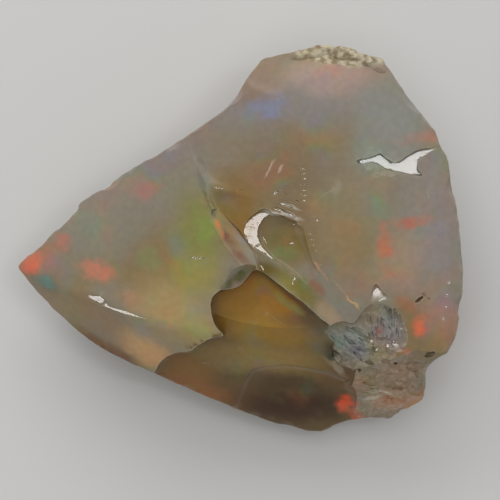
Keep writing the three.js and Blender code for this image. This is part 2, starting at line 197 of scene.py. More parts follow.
BIRD_RIGHT_EDGE = [
    (10.07, 5.18), (10.43, 5.09), (10.78, 5.27), (11.41, 5.72), (11.95, 5.99), (12.67, 6.08), (13.4, 6.25),
    (12.67, 5.78), (12.2, 5.42), (11.97, 5.1), (11.91, 4.64), (12.22, 4.24), (11.41, 4.24), (10.61, 4.42),
    (9.97, 4.55), (9.8, 4.9),
]
WEDGE_EDGE = [
    (-1.45, 1.95), (-0.7, 1.25), (0.0, 0.55), (0.87, -0.72), (1.36, -1.7), (1.3, -2.3), (0.4, -2.1),
    (-0.9, -1.1), (-1.4, -0.1), (-1.9, 1.2), (-1.9, 1.9),
]
FLAP_EDGE = [
    (-1.7, -3.5), (-1.35, -2.8), (-0.35, -2.0), (0.75, -1.6), (1.1, -1.9), (0.7, -2.7), (0.2, -3.4),
    (-0.7, -3.7), (-1.4, -3.7),
]
CRESCENT_EDGE = [
    (0.2, 0.42), (0.28, 0.95), (0.6, 1.38), (1.05, 1.75), (1.55, 2.02), (2.05, 1.85), (2.6, 1.2), (2.7, 0),
    (2.6, -1.0), (2.75, -1.75), (2.2, -1.5), (1.5, -0.98), (0.9, -0.62), (0.42, -0.15),
]
INNER_EDGE = [
    (1.12, 0.4), (1.28, 0.94), (1.65, 1.5), (2.2, 1.7), (2.75, 1.6), (3.4, 1.35), (3.9, 1.1),
    (4.35, 0.5), (4.6, -0.6), (5.1, -1.9), (5.9, -3.1), (6.4, -4.2), (5.9, -4.35), (4.9, -3.5),
    (3.9, -2.6), (3.0, -1.9), (2.4, -1.5), (1.9, -1.05), (1.5, -0.6), (1.25, -0.18),
]
FOOT_EDGE = [
    (-0.8, -14), (-0.15, -10.9), (0.5, -9.15), (1.35, -8.6), (3.2, -8.45), (4.9, -8.7),
    (6.7, -9.2), (8.2, -10.2), (8.4, -12), (8, -14.5), (3.5, -15.5),
]
FEATHER_EDGE = [
    (5.9, -6.0), (6.8, -5.5), (7.6, -5.6), (8.3, -4.7), (9.2, -4.1), (9.9, -4.2), (10.4, -4.9),
    (11.3, -5.1), (11.6, -6.1), (11.0, -7.0), (11.1, -7.7), (10.1, -8.3), (9.3, -9.1), (8.3, -9.2),
    (7.2, -9.1), (6.3, -8.6), (5.7, -7.4),
]
CORNER_EDGE = [
    (7.3, -8.9), (8.8, -8.5), (10.6, -7.9), (12.8, -7.1), (15.5, -7.5), (15, -12),
    (11, -15), (7.4, -14), (7.6, -10.9),
]
TRIANGLE_EDGE = [(9.1, -3.0), (9.55, -3.5), (9.95, -3.95), (9.6, -4.15), (8.9, -4.35), (8.75, -3.7)]
LEFT_LOBE_EDGE = [
    (6.2, -6.3), (7.0, -5.85), (8.1, -5.85), (8.6, -6.6), (8.35, -7.6), (7.8, -8.5),
    (7.4, -9.0), (6.8, -8.5), (6.3, -7.5),
]
RIGHT_LOBE_EDGE = [
    (8.4, -5.8), (8.9, -4.9), (9.2, -4.3), (10.0, -4.5), (10.8, -5.3), (11.3, -6.4),
    (11.0, -7.3), (10.2, -7.4), (9.4, -7.1), (8.7, -6.7),
]
CHIP_EDGE = [
    (-10.95, -2.75), (-10.45, -2.85), (-9.75, -3.45), (-9.0, -4.2), (-9.35, -4.45),
    (-10.2, -3.95), (-10.8, -3.3),
]
CAMERA_AT = (0.67, -0.74, 457.0)
KEY_AT = (146.0, 54.0, 488.0)  # middle of the key light
RIDGE_LIGHT_AT = (-358.0, -320.0, 177.0)
FACET_HEIGHT = 9.0  # about where the mirroring flakes lie


def mirror_slope(x, y, lamp=KEY_AT, off=(0, 0)):
    """The slope at which a face near (x, y) mirrors a lamp up to the camera."""
    place = Vector((x, y, FACET_HEIGHT))
    half = (Vector(CAMERA_AT) - place).normalized() + (Vector(lamp) - place).normalized()
    return -half.x / half.z + off[0], -half.y / half.z + off[1]


def flake(at, slope, radius, power, edge, **more):
    """A scar: where its floor is, how it leans and bends, how sudden its wall is, and its outline."""
    return {"at": at, "slope": slope, "radius": radius, "power": power, "edge": edge, **more}


# A scar with no height of its own is sunk until it touches the surface, at the point called touches.
# Skim is how far it sinks below that, and uneven is how rough its floor is. On a soft side, given as
# direction, spread and power, the wall is a ramp.
SCARS = {
    "ridge_chip": flake(
        (-10.0, -3.5), mirror_slope(-10, -3.5, RIDGE_LIGHT_AT), -25, 30, CHIP_EDGE, touches=(-9.7, -3.75)
    ),
    "broad": flake(
        (5, 1.5, 9.66), (-0.036, 0.019), -60, 150, BROAD_EDGE,
        soft_sides=[(252, 0.6, 7), (163, 0.3, 6), (135, 0.4, 4)], seed=89,
    ),
    "bird_right": flake(
        (11.3, 4.95), mirror_slope(11.3, 4.95, off=(-0.006, 0)), -95, 50, BIRD_RIGHT_EDGE,
        touches=(13.2, 6.15), skim=0.012, uneven=0.001,
    ),
    "bird_left": flake(
        (9.3, 5.25), mirror_slope(9.3, 5.25), -95, 50, BIRD_LEFT_EDGE,
        touches=(10.08, 4.95), skim=0.001, uneven=0.001,
    ),
    "wedge": flake((-0.3, -0.2, 9.86), (-0.48, -0.385), 80, 90, WEDGE_EDGE),
    "crescent": flake(
        (1.1, 0.4), mirror_slope(0.8, 0.5), 900, 60, CRESCENT_EDGE, touches=(0.3, 0.4), uneven=0.002
    ),
    "inner": flake((3.0, 0.1, 9.15), (0.05, 0), 30, 14, INNER_EDGE, soft_sides=[(15, 0.9, 3)]),
    "amber": flake((1.8, -5.0, 8.2), (0.04, 0.03), 34, 110, HOLLOW_EDGE),
    "olive": flake((1.6, -8.7, 6.1), (0.13, 0.78), -60, 110, HOLLOW_EDGE),
    "flap": flake((-0.35, -2.6, 10.02), (-0.35, 0.36), 40, 60, FLAP_EDGE),
    "foot": flake((3.6, -10.2, 4.85), (0.1, 0.7), -30, 16, FOOT_EDGE),
    "feather": flake(
        (9.1, -6.7, 8.35), (0.1, 0.2), 60, 30, FEATHER_EDGE, soft_sides=[(60, 0.9, 3), (-30, 0.7, 3)]
    ),
    "corner": flake((10.4, -10.2, 5.9), (0.02, 0.95), -26, 8, CORNER_EDGE),
    "triangle": flake(
        (9.3, -3.7), mirror_slope(9.3, -3.7, off=(0, 0.009)), -60, 30, TRIANGLE_EDGE, touches=(9.0, -4.2)
    ),
    "left_lobe": flake((7.4, -7.0), (0.1, 0.36), -8, 9, LEFT_LOBE_EDGE, touches=(7.6, -6.1)),
    "right_lobe": flake((9.8, -5.9), (-0.12, 0.12), -9, 9, RIGHT_LOBE_EDGE, touches=(9.3, -5.0)),
}
GLINTS = [  # rows of tiny facets: from x y, to x y, how many, length and width of one, its direction
    (2.35, 1.98, 3.55, 1.48, 2, 1.1, 0.34, -22), (3.1, 2.25, 3.1, 2.25, 1, 1.1, 0.26, -20),
    (4.2, 4.9, 4.35, 2.4, 7, 0.34, 0.07, 6), (4.7, 0.45, 5.05, -0.95, 4, 0.32, 0.08, -15),
    (2.35, 3.05, 2.35, 3.05, 1, 0.5, 0.14, 36), (3.45, -0.32, 3.45, -0.32, 1, 0.4, 0.24, -35),
    (5.15, 1.25, 5.15, 1.25, 1, 0.22, 0.14, 10), (-3.3, -1.25, -2.3, -1.3, 4, 0.2, 0.11, 0),
    (8.8, -10.1, 10.2, -10.9, 6, 0.5, 0.16, -10), (14.1, -2.5, 13.6, -5.8, 4, 0.25, 0.12, 60),
]
CRUSHED = {  # x, y and reach of an area, number of flakes, their size, lean, stretch and direction
    "left": (7.3, -7.1, 1.3, 26, 0.19, 0.3, 3.2, -35),
    "right": (9.6, -5.9, 1.25, 26, 0.17, 0.35, 3.2, -78),
    "middle": (9.2, -7.9, 1.6, 18, 0.26, 0.25, 1.8, -20),
    "corner": (10.4, -10.2, 2.5, 44, 0.42, 0.22, 1.5, 15),
}
DEEPEST_FLAKE = 0.4  # small flakes that would cut deeper than this are left out
WALL_CLEARANCE = 0.04  # a wall ends this far above the surface around it
SKIM = 0.01  # the least that a small scar takes off
UNEVEN = 0.016  # height of the waves in a scar's floor
SMALL_SCAR = {"power": 12, "steps": 4, "uneven": 0.005}
SLOPE_STEP = 0.3  # half the way over which the slope under a flake is measured
STEEPEST = 0.9  # the most that a flake follows of that slope
GLINT_TAPER = 0.7  # a glint is pointed beyond this share of its half length


def scatter(index, salt):
    """A number from 0 to 1 that looks random, and is the same on every run."""
    return (sin(index * 12.9898 + salt * 78.233) * 43758.5453) % 1


def place_in(scar, x, y):
    """How far points lie from a scar's middle (0) to its edge (1), and their direction from it."""
    dx, dy = x - scar["at"][0], y - scar["at"][1]
    angle = np.arctan2(dy, dx)
    reach = np.interp(angle, scar["angles"], scar["reaches"], period=2 * pi)
    return np.hypot(dx, dy) / reach, angle


def wall_power(scar, angle):
    """How suddenly the wall rises: a high power is a crisp edge, a low one a soft ramp."""
    power = np.full(np.shape(angle), float(scar["power"]))
    for side, spread, low in scar.get("soft_sides", []):
        off = (angle - radians(side) + pi) % (2 * pi) - pi
        power = np.minimum(power, low + (scar["power"] - low) * (1 - np.exp(-((off / spread) ** 2))))
    return power


def scar_height(scar, x, y):
    share, angle = place_in(scar, x, y)
    climb = np.interp(angle, scar["angles"], scar["climbs"], period=2 * pi)
    return face_height(scar, x, y) + climb * np.minimum(share, 1.02) ** wall_power(scar, angle)


def height_after(scars, x, y):
    """Height of the top once the main faces and the given scars are there."""
    top = main_height(x, y)
    for scar in scars:
        near = np.hypot(x - scar["at"][0], y - scar["at"][1]) <= scar["reaches"].max()
        if near.any():
            share, _ = place_in(scar, x[near], y[near])
            lower = np.minimum(top[near], scar_height(scar, x[near], y[near]))
            top[near] = np.where(share <= 1, lower, top[near])
    return top


def strike(scar, struck):
    """Works out a scar's outline and walls on the surface that earlier scars left."""
    loop = fretted(smooth_loop(scar["edge"], scar.get("steps", 7)), 0.5, 0.035)
    from_middle = loop - np.array(scar["at"][:2])
    scar["loop"] = loop
    scar["angles"] = np.arctan2(from_middle[:, 1], from_middle[:, 0])
    scar["reaches"] = np.hypot(from_middle[:, 0], from_middle[:, 1])
    around = height_after(struck, loop[:, 0], loop[:, 1])
    if len(scar["at"]) == 2:
        scar["at"] = (*scar["at"], 0)
        under = np.min(around - face_height(scar, loop[:, 0], loop[:, 1]))
        if "touches" in scar:
            x, y = np.array(scar["touches"]).reshape(2, 1)
            under = height_after(struck, x, y)[0] - face_height(scar, x, y)[0]
        scar["at"] = (*scar["at"][:2], under - scar.get("skim", SKIM))
    above = around - face_height(scar, loop[:, 0], loop[:, 1])
    scar["climbs"] = np.maximum(above, 0) + WALL_CLEARANCE
    struck.append(scar)


def turned(points, degrees):
    """Points (x, y) turned about the origin."""
    c, s = cos(radians(degrees)), sin(radians(degrees))
    return [(x * c - y * s, x * s + y * c) for x, y in points]


def add_small(name, middle, shape, slope, radius, **more):
    """Strikes a small scar with few points, unless it would cut too deep."""
    edge = [(middle[0] + x, middle[1] + y) for x, y in shape]
    scar = flake(tuple(middle), slope, radius, edge=edge, **SMALL_SCAR, **more)
    strike(scar, struck)
    if scar["climbs"].max() > DEEPEST_FLAKE:
        struck.pop()
    else:
        SCARS[name] = scar


def slope_under(x, y):
    """The slope that the scars so far have left near a point."""
    step = np.array([-SLOPE_STEP, SLOPE_STEP])
    rise_x = np.diff(height_after(struck, x + step, np.full(2, y)))[0]
    rise_y = np.diff(height_after(struck, np.full(2, x), y + step))[0]
    return np.clip([rise_x / (2 * SLOPE_STEP), rise_y / (2 * SLOPE_STEP)], -STEEPEST, STEEPEST)


def ragged_shape(index, size, stretch):
    """A small outline with six to eight corners about the origin, longer than wide by stretch."""
    corners = 6 + int(3 * scatter(index, 7))
    shape = []
    for k in range(corners):
        way = 2 * pi * (k + 0.5 * scatter(k, index)) / corners
        far = size * (0.5 + 0.6 * scatter(k, index + 20))
        shape.append((far * stretch * cos(way), far * sin(way)))
    return shape


def glint_shape(half, side):
    """A narrow outline with a point at both ends."""
    taper = half * GLINT_TAPER
    return [(-half, 0), (-taper, side), (taper, side), (half, 0), (taper, -side), (-taper, -side)]


struck = []
for scar in SCARS.values():
    strike(scar, struck)

for area, (x, y, reach, count, size, lean, stretch, direction) in CRUSHED.items():
    for i in range(count):
        turn = 2 * pi * scatter(i, 3)
        out = reach * scatter(i, 5) ** 0.5
        middle = (x + out * cos(turn), y + out * 0.9 * sin(turn))
        shape = turned(ragged_shape(i, size, stretch), direction + 24 * (scatter(i, 15) - 0.5))
        tilt = radians(direction + 90) + pi * (i % 2) + (3 / stretch) * (scatter(i, 11) - 0.5)
        steep = lean * (0.3 + scatter(i, 13))
        run_x, run_y = slope_under(*middle)
        slope = (run_x + steep * cos(tilt), run_y + steep * sin(tilt))
        add_small(f"{area}_{i}", middle, shape, slope, -9 + 18 * (i % 2))

for row, (from_x, from_y, to_x, to_y, count, length, width, direction) in enumerate(GLINTS):
    for i in range(count):
        part = (i + 0.5) / count
        jitter = [scatter(i, row + salt) - 0.5 for salt in (30, 40, 50, 60)] if count > 1 else [0] * 4
        shape = glint_shape(length * (1 + 0.5 * jitter[0]) / 2, width / 2)
        shape = turned(shape, direction + 16 * jitter[3])
        x = from_x + (to_x - from_x) * part + 0.1 * jitter[1]
        y = from_y + (to_y - from_y) * part + 0.1 * jitter[2]
        slope = mirror_slope(x, y, off=(0.016 * jitter[2], 0.01 * jitter[3]))
        add_small(f"glint_{row}_{i}", (x, y), shape, slope, -40, touches=(x + shape[0][0], y + shape[0][1]))
print("scars of the top:", len(SCARS))
print("deepest wall of the first ten:", [round(scar["climbs"].max(), 2) for scar in struck[:10]])

# %% [markdown]
# The blank starts as a circle of points, moved onto the outline. Its edge is extruded downwards ring
# by ring: steep at first, then in under the stone to the flat face it rests on. Each point keeps the
# number of its place around the outline in a layer, so every ring knows where its points belong. The
# lower rings follow an average of the outline, as breaks below don't repeat the chips of the rim.

# %% The blank
KEEL_PROFILE = [(1, 1), (0.985, 0.82), (0.93, 0.52), (0.8, 0.22), (0.54, 0)]  # width, height, over the rim's
KEEL_BLUR = 21  # points each way that the lower rings are averaged over


def extruded_rings(loops):
    """A closed solid whose rings are the given loops of (x, y, z), from the top down."""
    bm = bmesh.new()
    bmesh.ops.create_circle(bm, segments=len(loops[0]), radius=1)
    around = bm.verts.layers.int.new("around")
    for index, vert in enumerate(bm.verts):
        vert[around] = index
        vert.co = loops[0][index]
    ring = list(bm.edges)
    bmesh.ops.contextual_create(bm, geom=ring)
    for loop in loops[1:]:
        grown = bmesh.ops.extrude_edge_only(bm, edges=ring)["geom"]
        ring = [item for item in grown if isinstance(item, bmesh.types.BMEdge)]
        for vert in (item for item in grown if isinstance(item, bmesh.types.BMVert)):
            vert.co = loop[vert[around]]
    return bm, ring


def finished(bm, name):
    """An object in the scene from a closed bmesh, with its faces pointing outwards."""
    bmesh.ops.recalc_face_normals(bm, faces=bm.faces)
    mesh = bpy.data.meshes.new(name)
    bm.to_mesh(mesh)
    bm.free()
    piece = bpy.data.objects.new(name, mesh)
    bpy.context.collection.objects.link(piece)
    return piece


def keel_rings():
    rim = np.column_stack([outline, height_after(struck, outline[:, 0], outline[:, 1])])
    spread = [np.roll(rim, shift, axis=0) for shift in range(-KEEL_BLUR, KEEL_BLUR + 1)]
    loose = np.mean(spread, axis=0)
    levels = np.arange(0, len(KEEL_PROFILE) - 0.99, 0.25)
    rings = []
    for level in levels:
        share = np.interp(level, range(len(KEEL_PROFILE)), [width for width, _ in KEEL_PROFILE])
        height = np.interp(level, range(len(KEEL_PROFILE)), [drop for _, drop in KEEL_PROFILE])
        mixed = rim + (loose - rim) * min(1, level / 2)
        flat = BASE_MIDDLE + (mixed[:, :2] - BASE_MIDDLE) * share
        rings.append(np.column_stack([flat, mixed[:, 2] * height]))
    return rings


keel = keel_rings()
top_ring = np.column_stack([outline, np.full(len(outline), BLANK_TOP)])
bm, last = extruded_rings([top_ring, *keel])
bmesh.ops.contextual_create(bm, geom=last)
stone = finished(bm, "opal_stone")
print("blank:", len(stone.data.polygons), "faces")

# %% [markdown]
# A cut is a boolean difference with the solid that was taken away. The main faces are cut in one
# go by a grid whose points are set to the height of those faces, and which is extruded upwards past
# the blank. A scar is cut by a dish: its rings shrink from the edge to the middle, closer together
# near the wall, and the last ring is merged to a point.

# %% The cutters of the top
GRID_X, GRID_Y = 33.0, 29.0  # the grid's size, larger than the blank
GRID_STEP = 0.2
MAIN_WAVES = [(5.0, 0.05, 1), (1.7, 0.008, 2)]  # size, height and seed
FLOOR_WAVE = 3.0  # size of the waves in a scar's floor


def main_cutter():
    bm = bmesh.new()
    columns, rows = int(GRID_X / GRID_STEP), int(GRID_Y / GRID_STEP)
    bmesh.ops.create_grid(bm, x_segments=columns, y_segments=rows, size=0.5)
    bmesh.ops.scale(bm, vec=(GRID_X, GRID_Y, 1), verts=bm.verts)
    spots = np.array([vert.co[:2] for vert in bm.verts])
    heights = main_height(spots[:, 0], spots[:, 1])
    heights += sum(waves(spots[:, 0], spots[:, 1], *wave_kind) for wave_kind in MAIN_WAVES)
    for vert, height in zip(bm.verts, heights):
        vert.co.z = height
    lifted = bmesh.ops.extrude_face_region(bm, geom=list(bm.faces))["geom"]
    for vert in (item for item in lifted if isinstance(item, bmesh.types.BMVert)):
        vert.co.z = BLANK_TOP + 2
    return finished(bm, "cut_main")


RING_SHARES = [
    1, 0.9985, 0.996, 0.992, 0.985, 0.975, 0.96, 0.94, 0.91, 0.87, 0.82, 0.76, 0.68, 0.6, 0.5,
    0.4, 0.3, 0.2, 0.1, 0.03,
]


def dish_cutter(name, scar):
    middle = np.array(scar["at"][:2])
    floor_waves = FLOOR_WAVE, scar.get("uneven", UNEVEN), scar.get("seed", len(name))
    loops = [np.column_stack([scar["loop"], np.full(len(scar["loop"]), BLANK_TOP + 1)])]
    for share in RING_SHARES[:: 3 if "steps" in scar else 1]:
        spots = middle + (scar["loop"] - middle) * share
        heights = face_height(scar, spots[:, 0], spots[:, 1])
        heights += scar["climbs"] * share ** wall_power(scar, scar["angles"])
        heights += (1 - share**6) * waves(spots[:, 0], spots[:, 1], *floor_waves)
        loops.append(np.column_stack([spots, heights]))
    bm, last = extruded_rings(loops)
    bottom = (*middle, scar["at"][2] + waves(middle[:1], middle[1:], *floor_waves)[0])
    rim = list(dict.fromkeys(vert for edge in last for vert in edge.verts))
    bmesh.ops.pointmerge(bm, verts=rim, merge_co=bottom)
    return finished(bm, "cut_" + name)


def cut(piece, cutters, operation="DIFFERENCE"):
    """Applies one boolean after another to the piece and clears the cutters away."""
    for cutter in cutters:
        step = piece.modifiers.new(cutter.name, "BOOLEAN")
        step.operation = operation
        step.solver = "MANIFOLD"
        step.object = cutter
    graph = bpy.context.evaluated_depsgraph_get()
    worked = bpy.data.meshes.new_from_object(piece.evaluated_get(graph))
    piece.modifiers.clear()
    piece.data = worked
    for cutter in cutters:
        bpy.data.objects.remove(cutter)
    print("after", len(cutters), "cuts:", len(worked.polygons), "faces")


cut(stone, [main_cutter()])
cut(stone, [dish_cutter(name, scar) for name, scar in SCARS.items()])

# %% [markdown]
# The sides and the underside were broken too. Those flakes are round, so each cutter is a profile
# spun about an axis: a shallow bowl with a thick back. The big breaks of the underside bite into the
# keel wherever it bulges most towards them, and the dished flakes of the sides sit below the rim.

# %% The breaks below the rim
CUT_THICKNESS = 14.0
UNDER_FACES = {  # degrees round and below level, depth of the bite, radius, reach
    "east": (-6, 36, 0.8, 80, 12),
    "north_east": (38, 42, 1.0, -60, 11),
    "north": (84, 38, 0.9, -40, 10),
    "north_west": (128, 44, 1.1, 60, 12),
    "west": (176, 58, 0.7, 90, 12),
    "south_west": (232, 46, 0.8, 60, 12),
    "south_east": (316, 56, 0.7, 45, 9),
}
SIDE_SCARS = [  # share of the way round, height over the rim's, degrees below level, bite, radius, reach
    (0.06, 0.5, 18, 0.5, 9, 4.0), (0.135, 0.42, 22, 0.8, 11, 4.6), (0.215, 0.5, 14, 0.7, 9, 3.8),
    (0.285, 0.45, 20, 0.7, 10, 4.2), (0.37, 0.45, 16, 0.6, 9, 3.8), (0.435, 0.42, 24, 0.8, 12, 4.6),
    (0.5, 0.5, 12, 0.7, 9, 4.0), (0.565, 0.42, 22, 0.7, 10, 4.2), (0.615, 0.36, 20, 0.2, 8, 2.2),
    (0.675, 0.32, 24, 0.15, 6, 2.0), (0.86, 0.36, 26, 0.4, 7, 3.2), (0.94, 0.42, 20, 0.4, 8, 3.2),
]
SIDE_INSET = 0.93  # where a side flake is struck, as a share of the way from the middle to the rim
RAGGED = 0.3  # how far the outline of a flake leaves a circle, as a share of its reach
RIPPLE_SPACING = 0.9  # mm between the ripples that spread from a blow
RIPPLE_HEIGHT = 0.014
SWELL_HEIGHT = 0.03  # height of the wide waves in a flake
SWELL_SIZE = 2.2


def round_cutter(name, at, normal, radius, reach, step=0.4):
    """The solid that a round flake took away, opening along normal."""
    rings = max(4, int(reach / step))
    sides = max(16, int(2 * pi * reach / step / 1.5))
    bm = bmesh.new()
    profile = [Vector((r, 0, r * r / (2 * radius))) for r in np.linspace(0, reach, rings)]
    back = min(CUT_THICKNESS, reach * 4)
    profile += [Vector((reach, 0, back)), Vector((0, 0, back))]
    points = [bm.verts.new(spot) for spot in profile]
    lines = [bm.edges.new(pair) for pair in zip(points, points[1:])]
    bmesh.ops.spin(
        bm, geom=points + lines, cent=(0, 0, 0), axis=(0, 0, 1), angle=2 * pi, steps=sides, use_merge=True
    )
    bmesh.ops.remove_doubles(bm, verts=bm.verts, dist=1e-5)
    for vert in bm.verts:
        out = vert.co.xy.length
        if out < 1e-6:
            continue
        around = vert.co.xy.normalized().to_3d() * 1.1 + Vector(at)
        ragged = 1 + RAGGED * noise.noise(around) + RAGGED * 0.4 * noise.noise(around * 3)
        if vert.co.z < back * 0.9:
            from_blow = (vert.co.xy - Vector((reach * 0.85, 0))).length
            fade = 1 - (out / reach) ** 4
            ripple = RIPPLE_HEIGHT * min(1, reach / 4) * sin(2 * pi * (from_blow / RIPPLE_SPACING) ** 0.8)
            vert.co.z += fade * (SWELL_HEIGHT * noise.noise(vert.co / SWELL_SIZE + Vector(at)) + ripple)
        vert.co.xy *= ragged
    turn = Vector((0, 0, 1)).rotation_difference(Vector(normal)).to_matrix().to_4x4()
    bmesh.ops.transform(bm, matrix=Matrix.Translation(Vector(at)) @ turn, verts=bm.verts)
    return finished(bm, name)


def under_cutter(name, azimuth, below, depth, radius, reach):
    turn, dip = radians(azimuth), radians(below)
    normal = np.array([cos(turn) * cos(dip), sin(turn) * cos(dip), -sin(dip)])
    spots = np.concatenate(keel)
    bulge = spots[np.argmax(spots @ normal)]
    return round_cutter("cut_" + name, bulge - normal * depth, normal, radius, reach)


def along_outline(share):
    """The point, and the direction along and out of the outline, at a share of its length."""
    loop = smooth_loop(OUTLINE, 6)
    steps = np.linalg.norm(np.roll(loop, -1, axis=0) - loop, axis=1)
    walked = np.concatenate([[0], np.cumsum(steps)])
    closed = np.vstack([loop, loop[:1]])
    places = (share + np.array([-0.004, 0, 0.004])) % 1 * walked[-1]
    behind, spot, ahead = (np.array([np.interp(p, walked, closed[:, k]) for k in (0, 1)]) for p in places)
    forward = (ahead - behind) / np.linalg.norm(ahead - behind)
    return spot, forward, np.array([-forward[1], forward[0]])


def side_cutter(index, share, level, below, bite, radius, reach):
    spot, _, outward = along_outline(share)
    normal = Vector((*outward, -tan(radians(below)))).normalized()
    flat = BASE_MIDDLE + (spot - BASE_MIDDLE) * SIDE_INSET
    rim_height = height_after(struck, spot[:1], spot[1:])[0]
    at = Vector((*flat, rim_height * level)) - normal * bite
    return round_cutter(f"cut_side_{index}", at, normal, radius, reach, 0.25)


cut(stone, [under_cutter(name, *face) for name, face in UNDER_FACES.items()])
cut(stone, [side_cutter(index, *scar) for index, scar in enumerate(SIDE_SCARS)])

# %% [markdown]
# Thin edges lose small flakes whenever the stone is handled, most along the thin right-hand rim
# and at the crumbly corner. They are placed in a loop. The scatter function gives numbers that look
# random but are the same each time, so the stone is the same stone on every run.

# %% Chips along the edges
EDGE_CHIPS = [  # from and to a share of the way round, how many, reach, bite
    (0.37, 0.59, 18, 0.7, 0.14), (0.6, 0.7, 10, 0.6, 0.1), (0.745, 0.79, 3, 0.6, 0.1),
    (0.05, 0.22, 6, 0.7, 0.1), (0.82, 0.96, 4, 0.6, 0.1),
]


def edge_chips():
    chips = []
    for run, (start, end, count, reach, bite) in enumerate(EDGE_CHIPS):
        for i in range(count):
            share = start + (end - start) * (i + 0.2 + 0.6 * scatter(i, run)) / count
            spot, forward, outward = along_outline(share)
            size = reach * (0.6 + 0.8 * scatter(i, run + 10))
            normal = Vector((*outward, 0.4 + scatter(i, run + 20)))
            normal = (normal + Vector((*forward, 0)) * (scatter(i, run + 30) - 0.5)).normalized()
            inner = spot - outward * 0.1
            edge = Vector((*spot, height_after(struck, inner[:1], inner[1:])[0]))
            at = edge - normal * bite * (0.5 + scatter(i, run + 40))
            chips.append(round_cutter(f"chip_{run}_{i}", at, normal, size * 2.2, size * 2, 0.14))
    return chips


cut(stone, edge_chips())

# %% [markdown]
# A few small pits go deeper, where a crumb fell out whole. On the crusted end, ragged lumps of the
# host rock still hold on to the opal. Both start as icospheres that noise pulls out of shape: a pit is
# cut away, and a lump is joined on with a union.

# %% Pits and crust
PITS = [  # x, y, length, width, direction in degrees
    (6.15, -7.7, 0.55, 0.22, 100), (7.85, -8.85, 0.4, 0.2, 30), (10.45, -8.35, 0.16, 0.12, 0),
    (12.75, -7.75, 0.4, 0.2, 20), (12.0, -4.05, 0.35, 0.12, 35),
]
PIT_DEPTH = 0.45
CRUST_LUMPS = [  # x, y, size
    (4.2, 12.25, 1.0), (5.4, 12.45, 1.1), (6.9, 12.35, 1.1), (8.2, 11.95, 1.0), (9.1, 11.5, 0.7),
]
LUMP_ROUGHNESS = 0.14  # how far noise moves the points of a lump
LUMP_SINK = 0.1  # how deep its middle lies in the stone


def top_at(x, y):
    return height_after(struck, np.array([x]), np.array([y]))[0]


def pit_cutter(index, x, y, length, width, degrees):
    bm = bmesh.new()
    bmesh.ops.create_icosphere(bm, subdivisions=3, radius=1)
    for vert in bm.verts:
        vert.co *= 1 + 0.35 * noise.noise(vert.co * 1.6 + Vector((index * 3, 0, 0)))
    bmesh.ops.scale(bm, vec=(length, width, PIT_DEPTH), verts=bm.verts)
    bmesh.ops.rotate(bm, cent=(0, 0, 0), matrix=Matrix.Rotation(radians(degrees), 3, "Z"), verts=bm.verts)
    bmesh.ops.translate(bm, vec=(x, y, top_at(x, y)), verts=bm.verts)
    return finished(bm, f"pit_{index}")


def crust_lump(index, x, y, size):
    bm = bmesh.new()
    bmesh.ops.create_icosphere(bm, subdivisions=4, radius=1)
    bmesh.ops.scale(bm, vec=(size, size * 0.5, size * 0.3), verts=bm.verts)
    for vert in bm.verts:
        rough = noise.fractal(vert.co * 1.3 + Vector((x, y, 0)), 0.9, 2.0, 5)
        vert.co += vert.normal * LUMP_ROUGHNESS * rough
    bmesh.ops.rotate(bm, cent=(0, 0, 0), matrix=Matrix.Rotation(0.3 - 0.17 * index, 3, "Z"), verts=bm.verts)
    bmesh.ops.translate(bm, vec=(x, y, top_at(x, y) - LUMP_SINK), verts=bm.verts)
    return finished(bm, f"crust_{index}")


cut(stone, [pit_cutter(i, *pit) for i, pit in enumerate(PITS)])
cut(stone, [crust_lump(i, *lump) for i, lump in enumerate(CRUST_LUMPS)], "UNION")

# %% [markdown]
# The cuts leave long, thin triangles. The Decimate modifier clears up what the shape doesn't need,
# and then edges that are too long for the detail they have to carry are halved, again and again.
# That makes a mesh that is fine where the break is rough and coarse where it is smooth.

# %% Evening out the mesh
KEPT_SHARE = 0.55
MERGE_DISTANCE = 0.004  # points closer than this become one
HALVINGS = 5
FINE_AREAS = [  # middle and half size of an area, and the longest edge there, in mm
    (2.6, 1.0, 2.8, 3.9, 0.13), (9.0, -6.6, 2.8, 2.6, 0.12), (10.3, -10.3, 2.7, 2.2, 0.145),
    (6.6, 12.2, 3.8, 1.0, 0.17), (10.6, 5.2, 3.0, 1.2, 0.16),
]
TOP_EDGE = 0.35  # longest edge elsewhere on the top
SIDE_EDGE = 0.5  # and below it
TOP_FROM = 4.5  # height at which the top begins
FINE_FROM = 3.5  # height above which the fine areas count


def longest_edge(middle):
    limits = [TOP_EDGE if middle.z > TOP_FROM else SIDE_EDGE]
    for x, y, half_x, half_y, limit in FINE_AREAS:
        if abs(middle.x - x) < half_x and abs(middle.y - y) < half_y and middle.z > FINE_FROM:
            limits.append(limit)
    return min(limits)


thinner = stone.modifiers.new("thinner", "DECIMATE")
thinner.ratio = KEPT_SHARE
graph = bpy.context.evaluated_depsgraph_get()
thinned = bpy.data.meshes.new_from_object(stone.evaluated_get(graph))
stone.modifiers.clear()
bm = bmesh.new()
bm.from_mesh(thinned)
bmesh.ops.remove_doubles(bm, verts=bm.verts, dist=MERGE_DISTANCE)
bmesh.ops.dissolve_degenerate(bm, edges=bm.edges, dist=MERGE_DISTANCE)
bmesh.ops.triangulate(bm, faces=bm.faces)
print("thinned:", len(bm.faces), "triangles")
for _ in range(HALVINGS):
    spots = [(edge, edge.calc_length(), (edge.verts[0].co + edge.verts[1].co) / 2) for edge in bm.edges]
    long_edges = [edge for edge, length, middle in spots if length > longest_edge(middle)]
    bmesh.ops.subdivide_edges(bm, edges=long_edges, cuts=1)
    bmesh.ops.triangulate(bm, faces=bm.faces)
print("evened out:", len(bm.faces), "triangles")

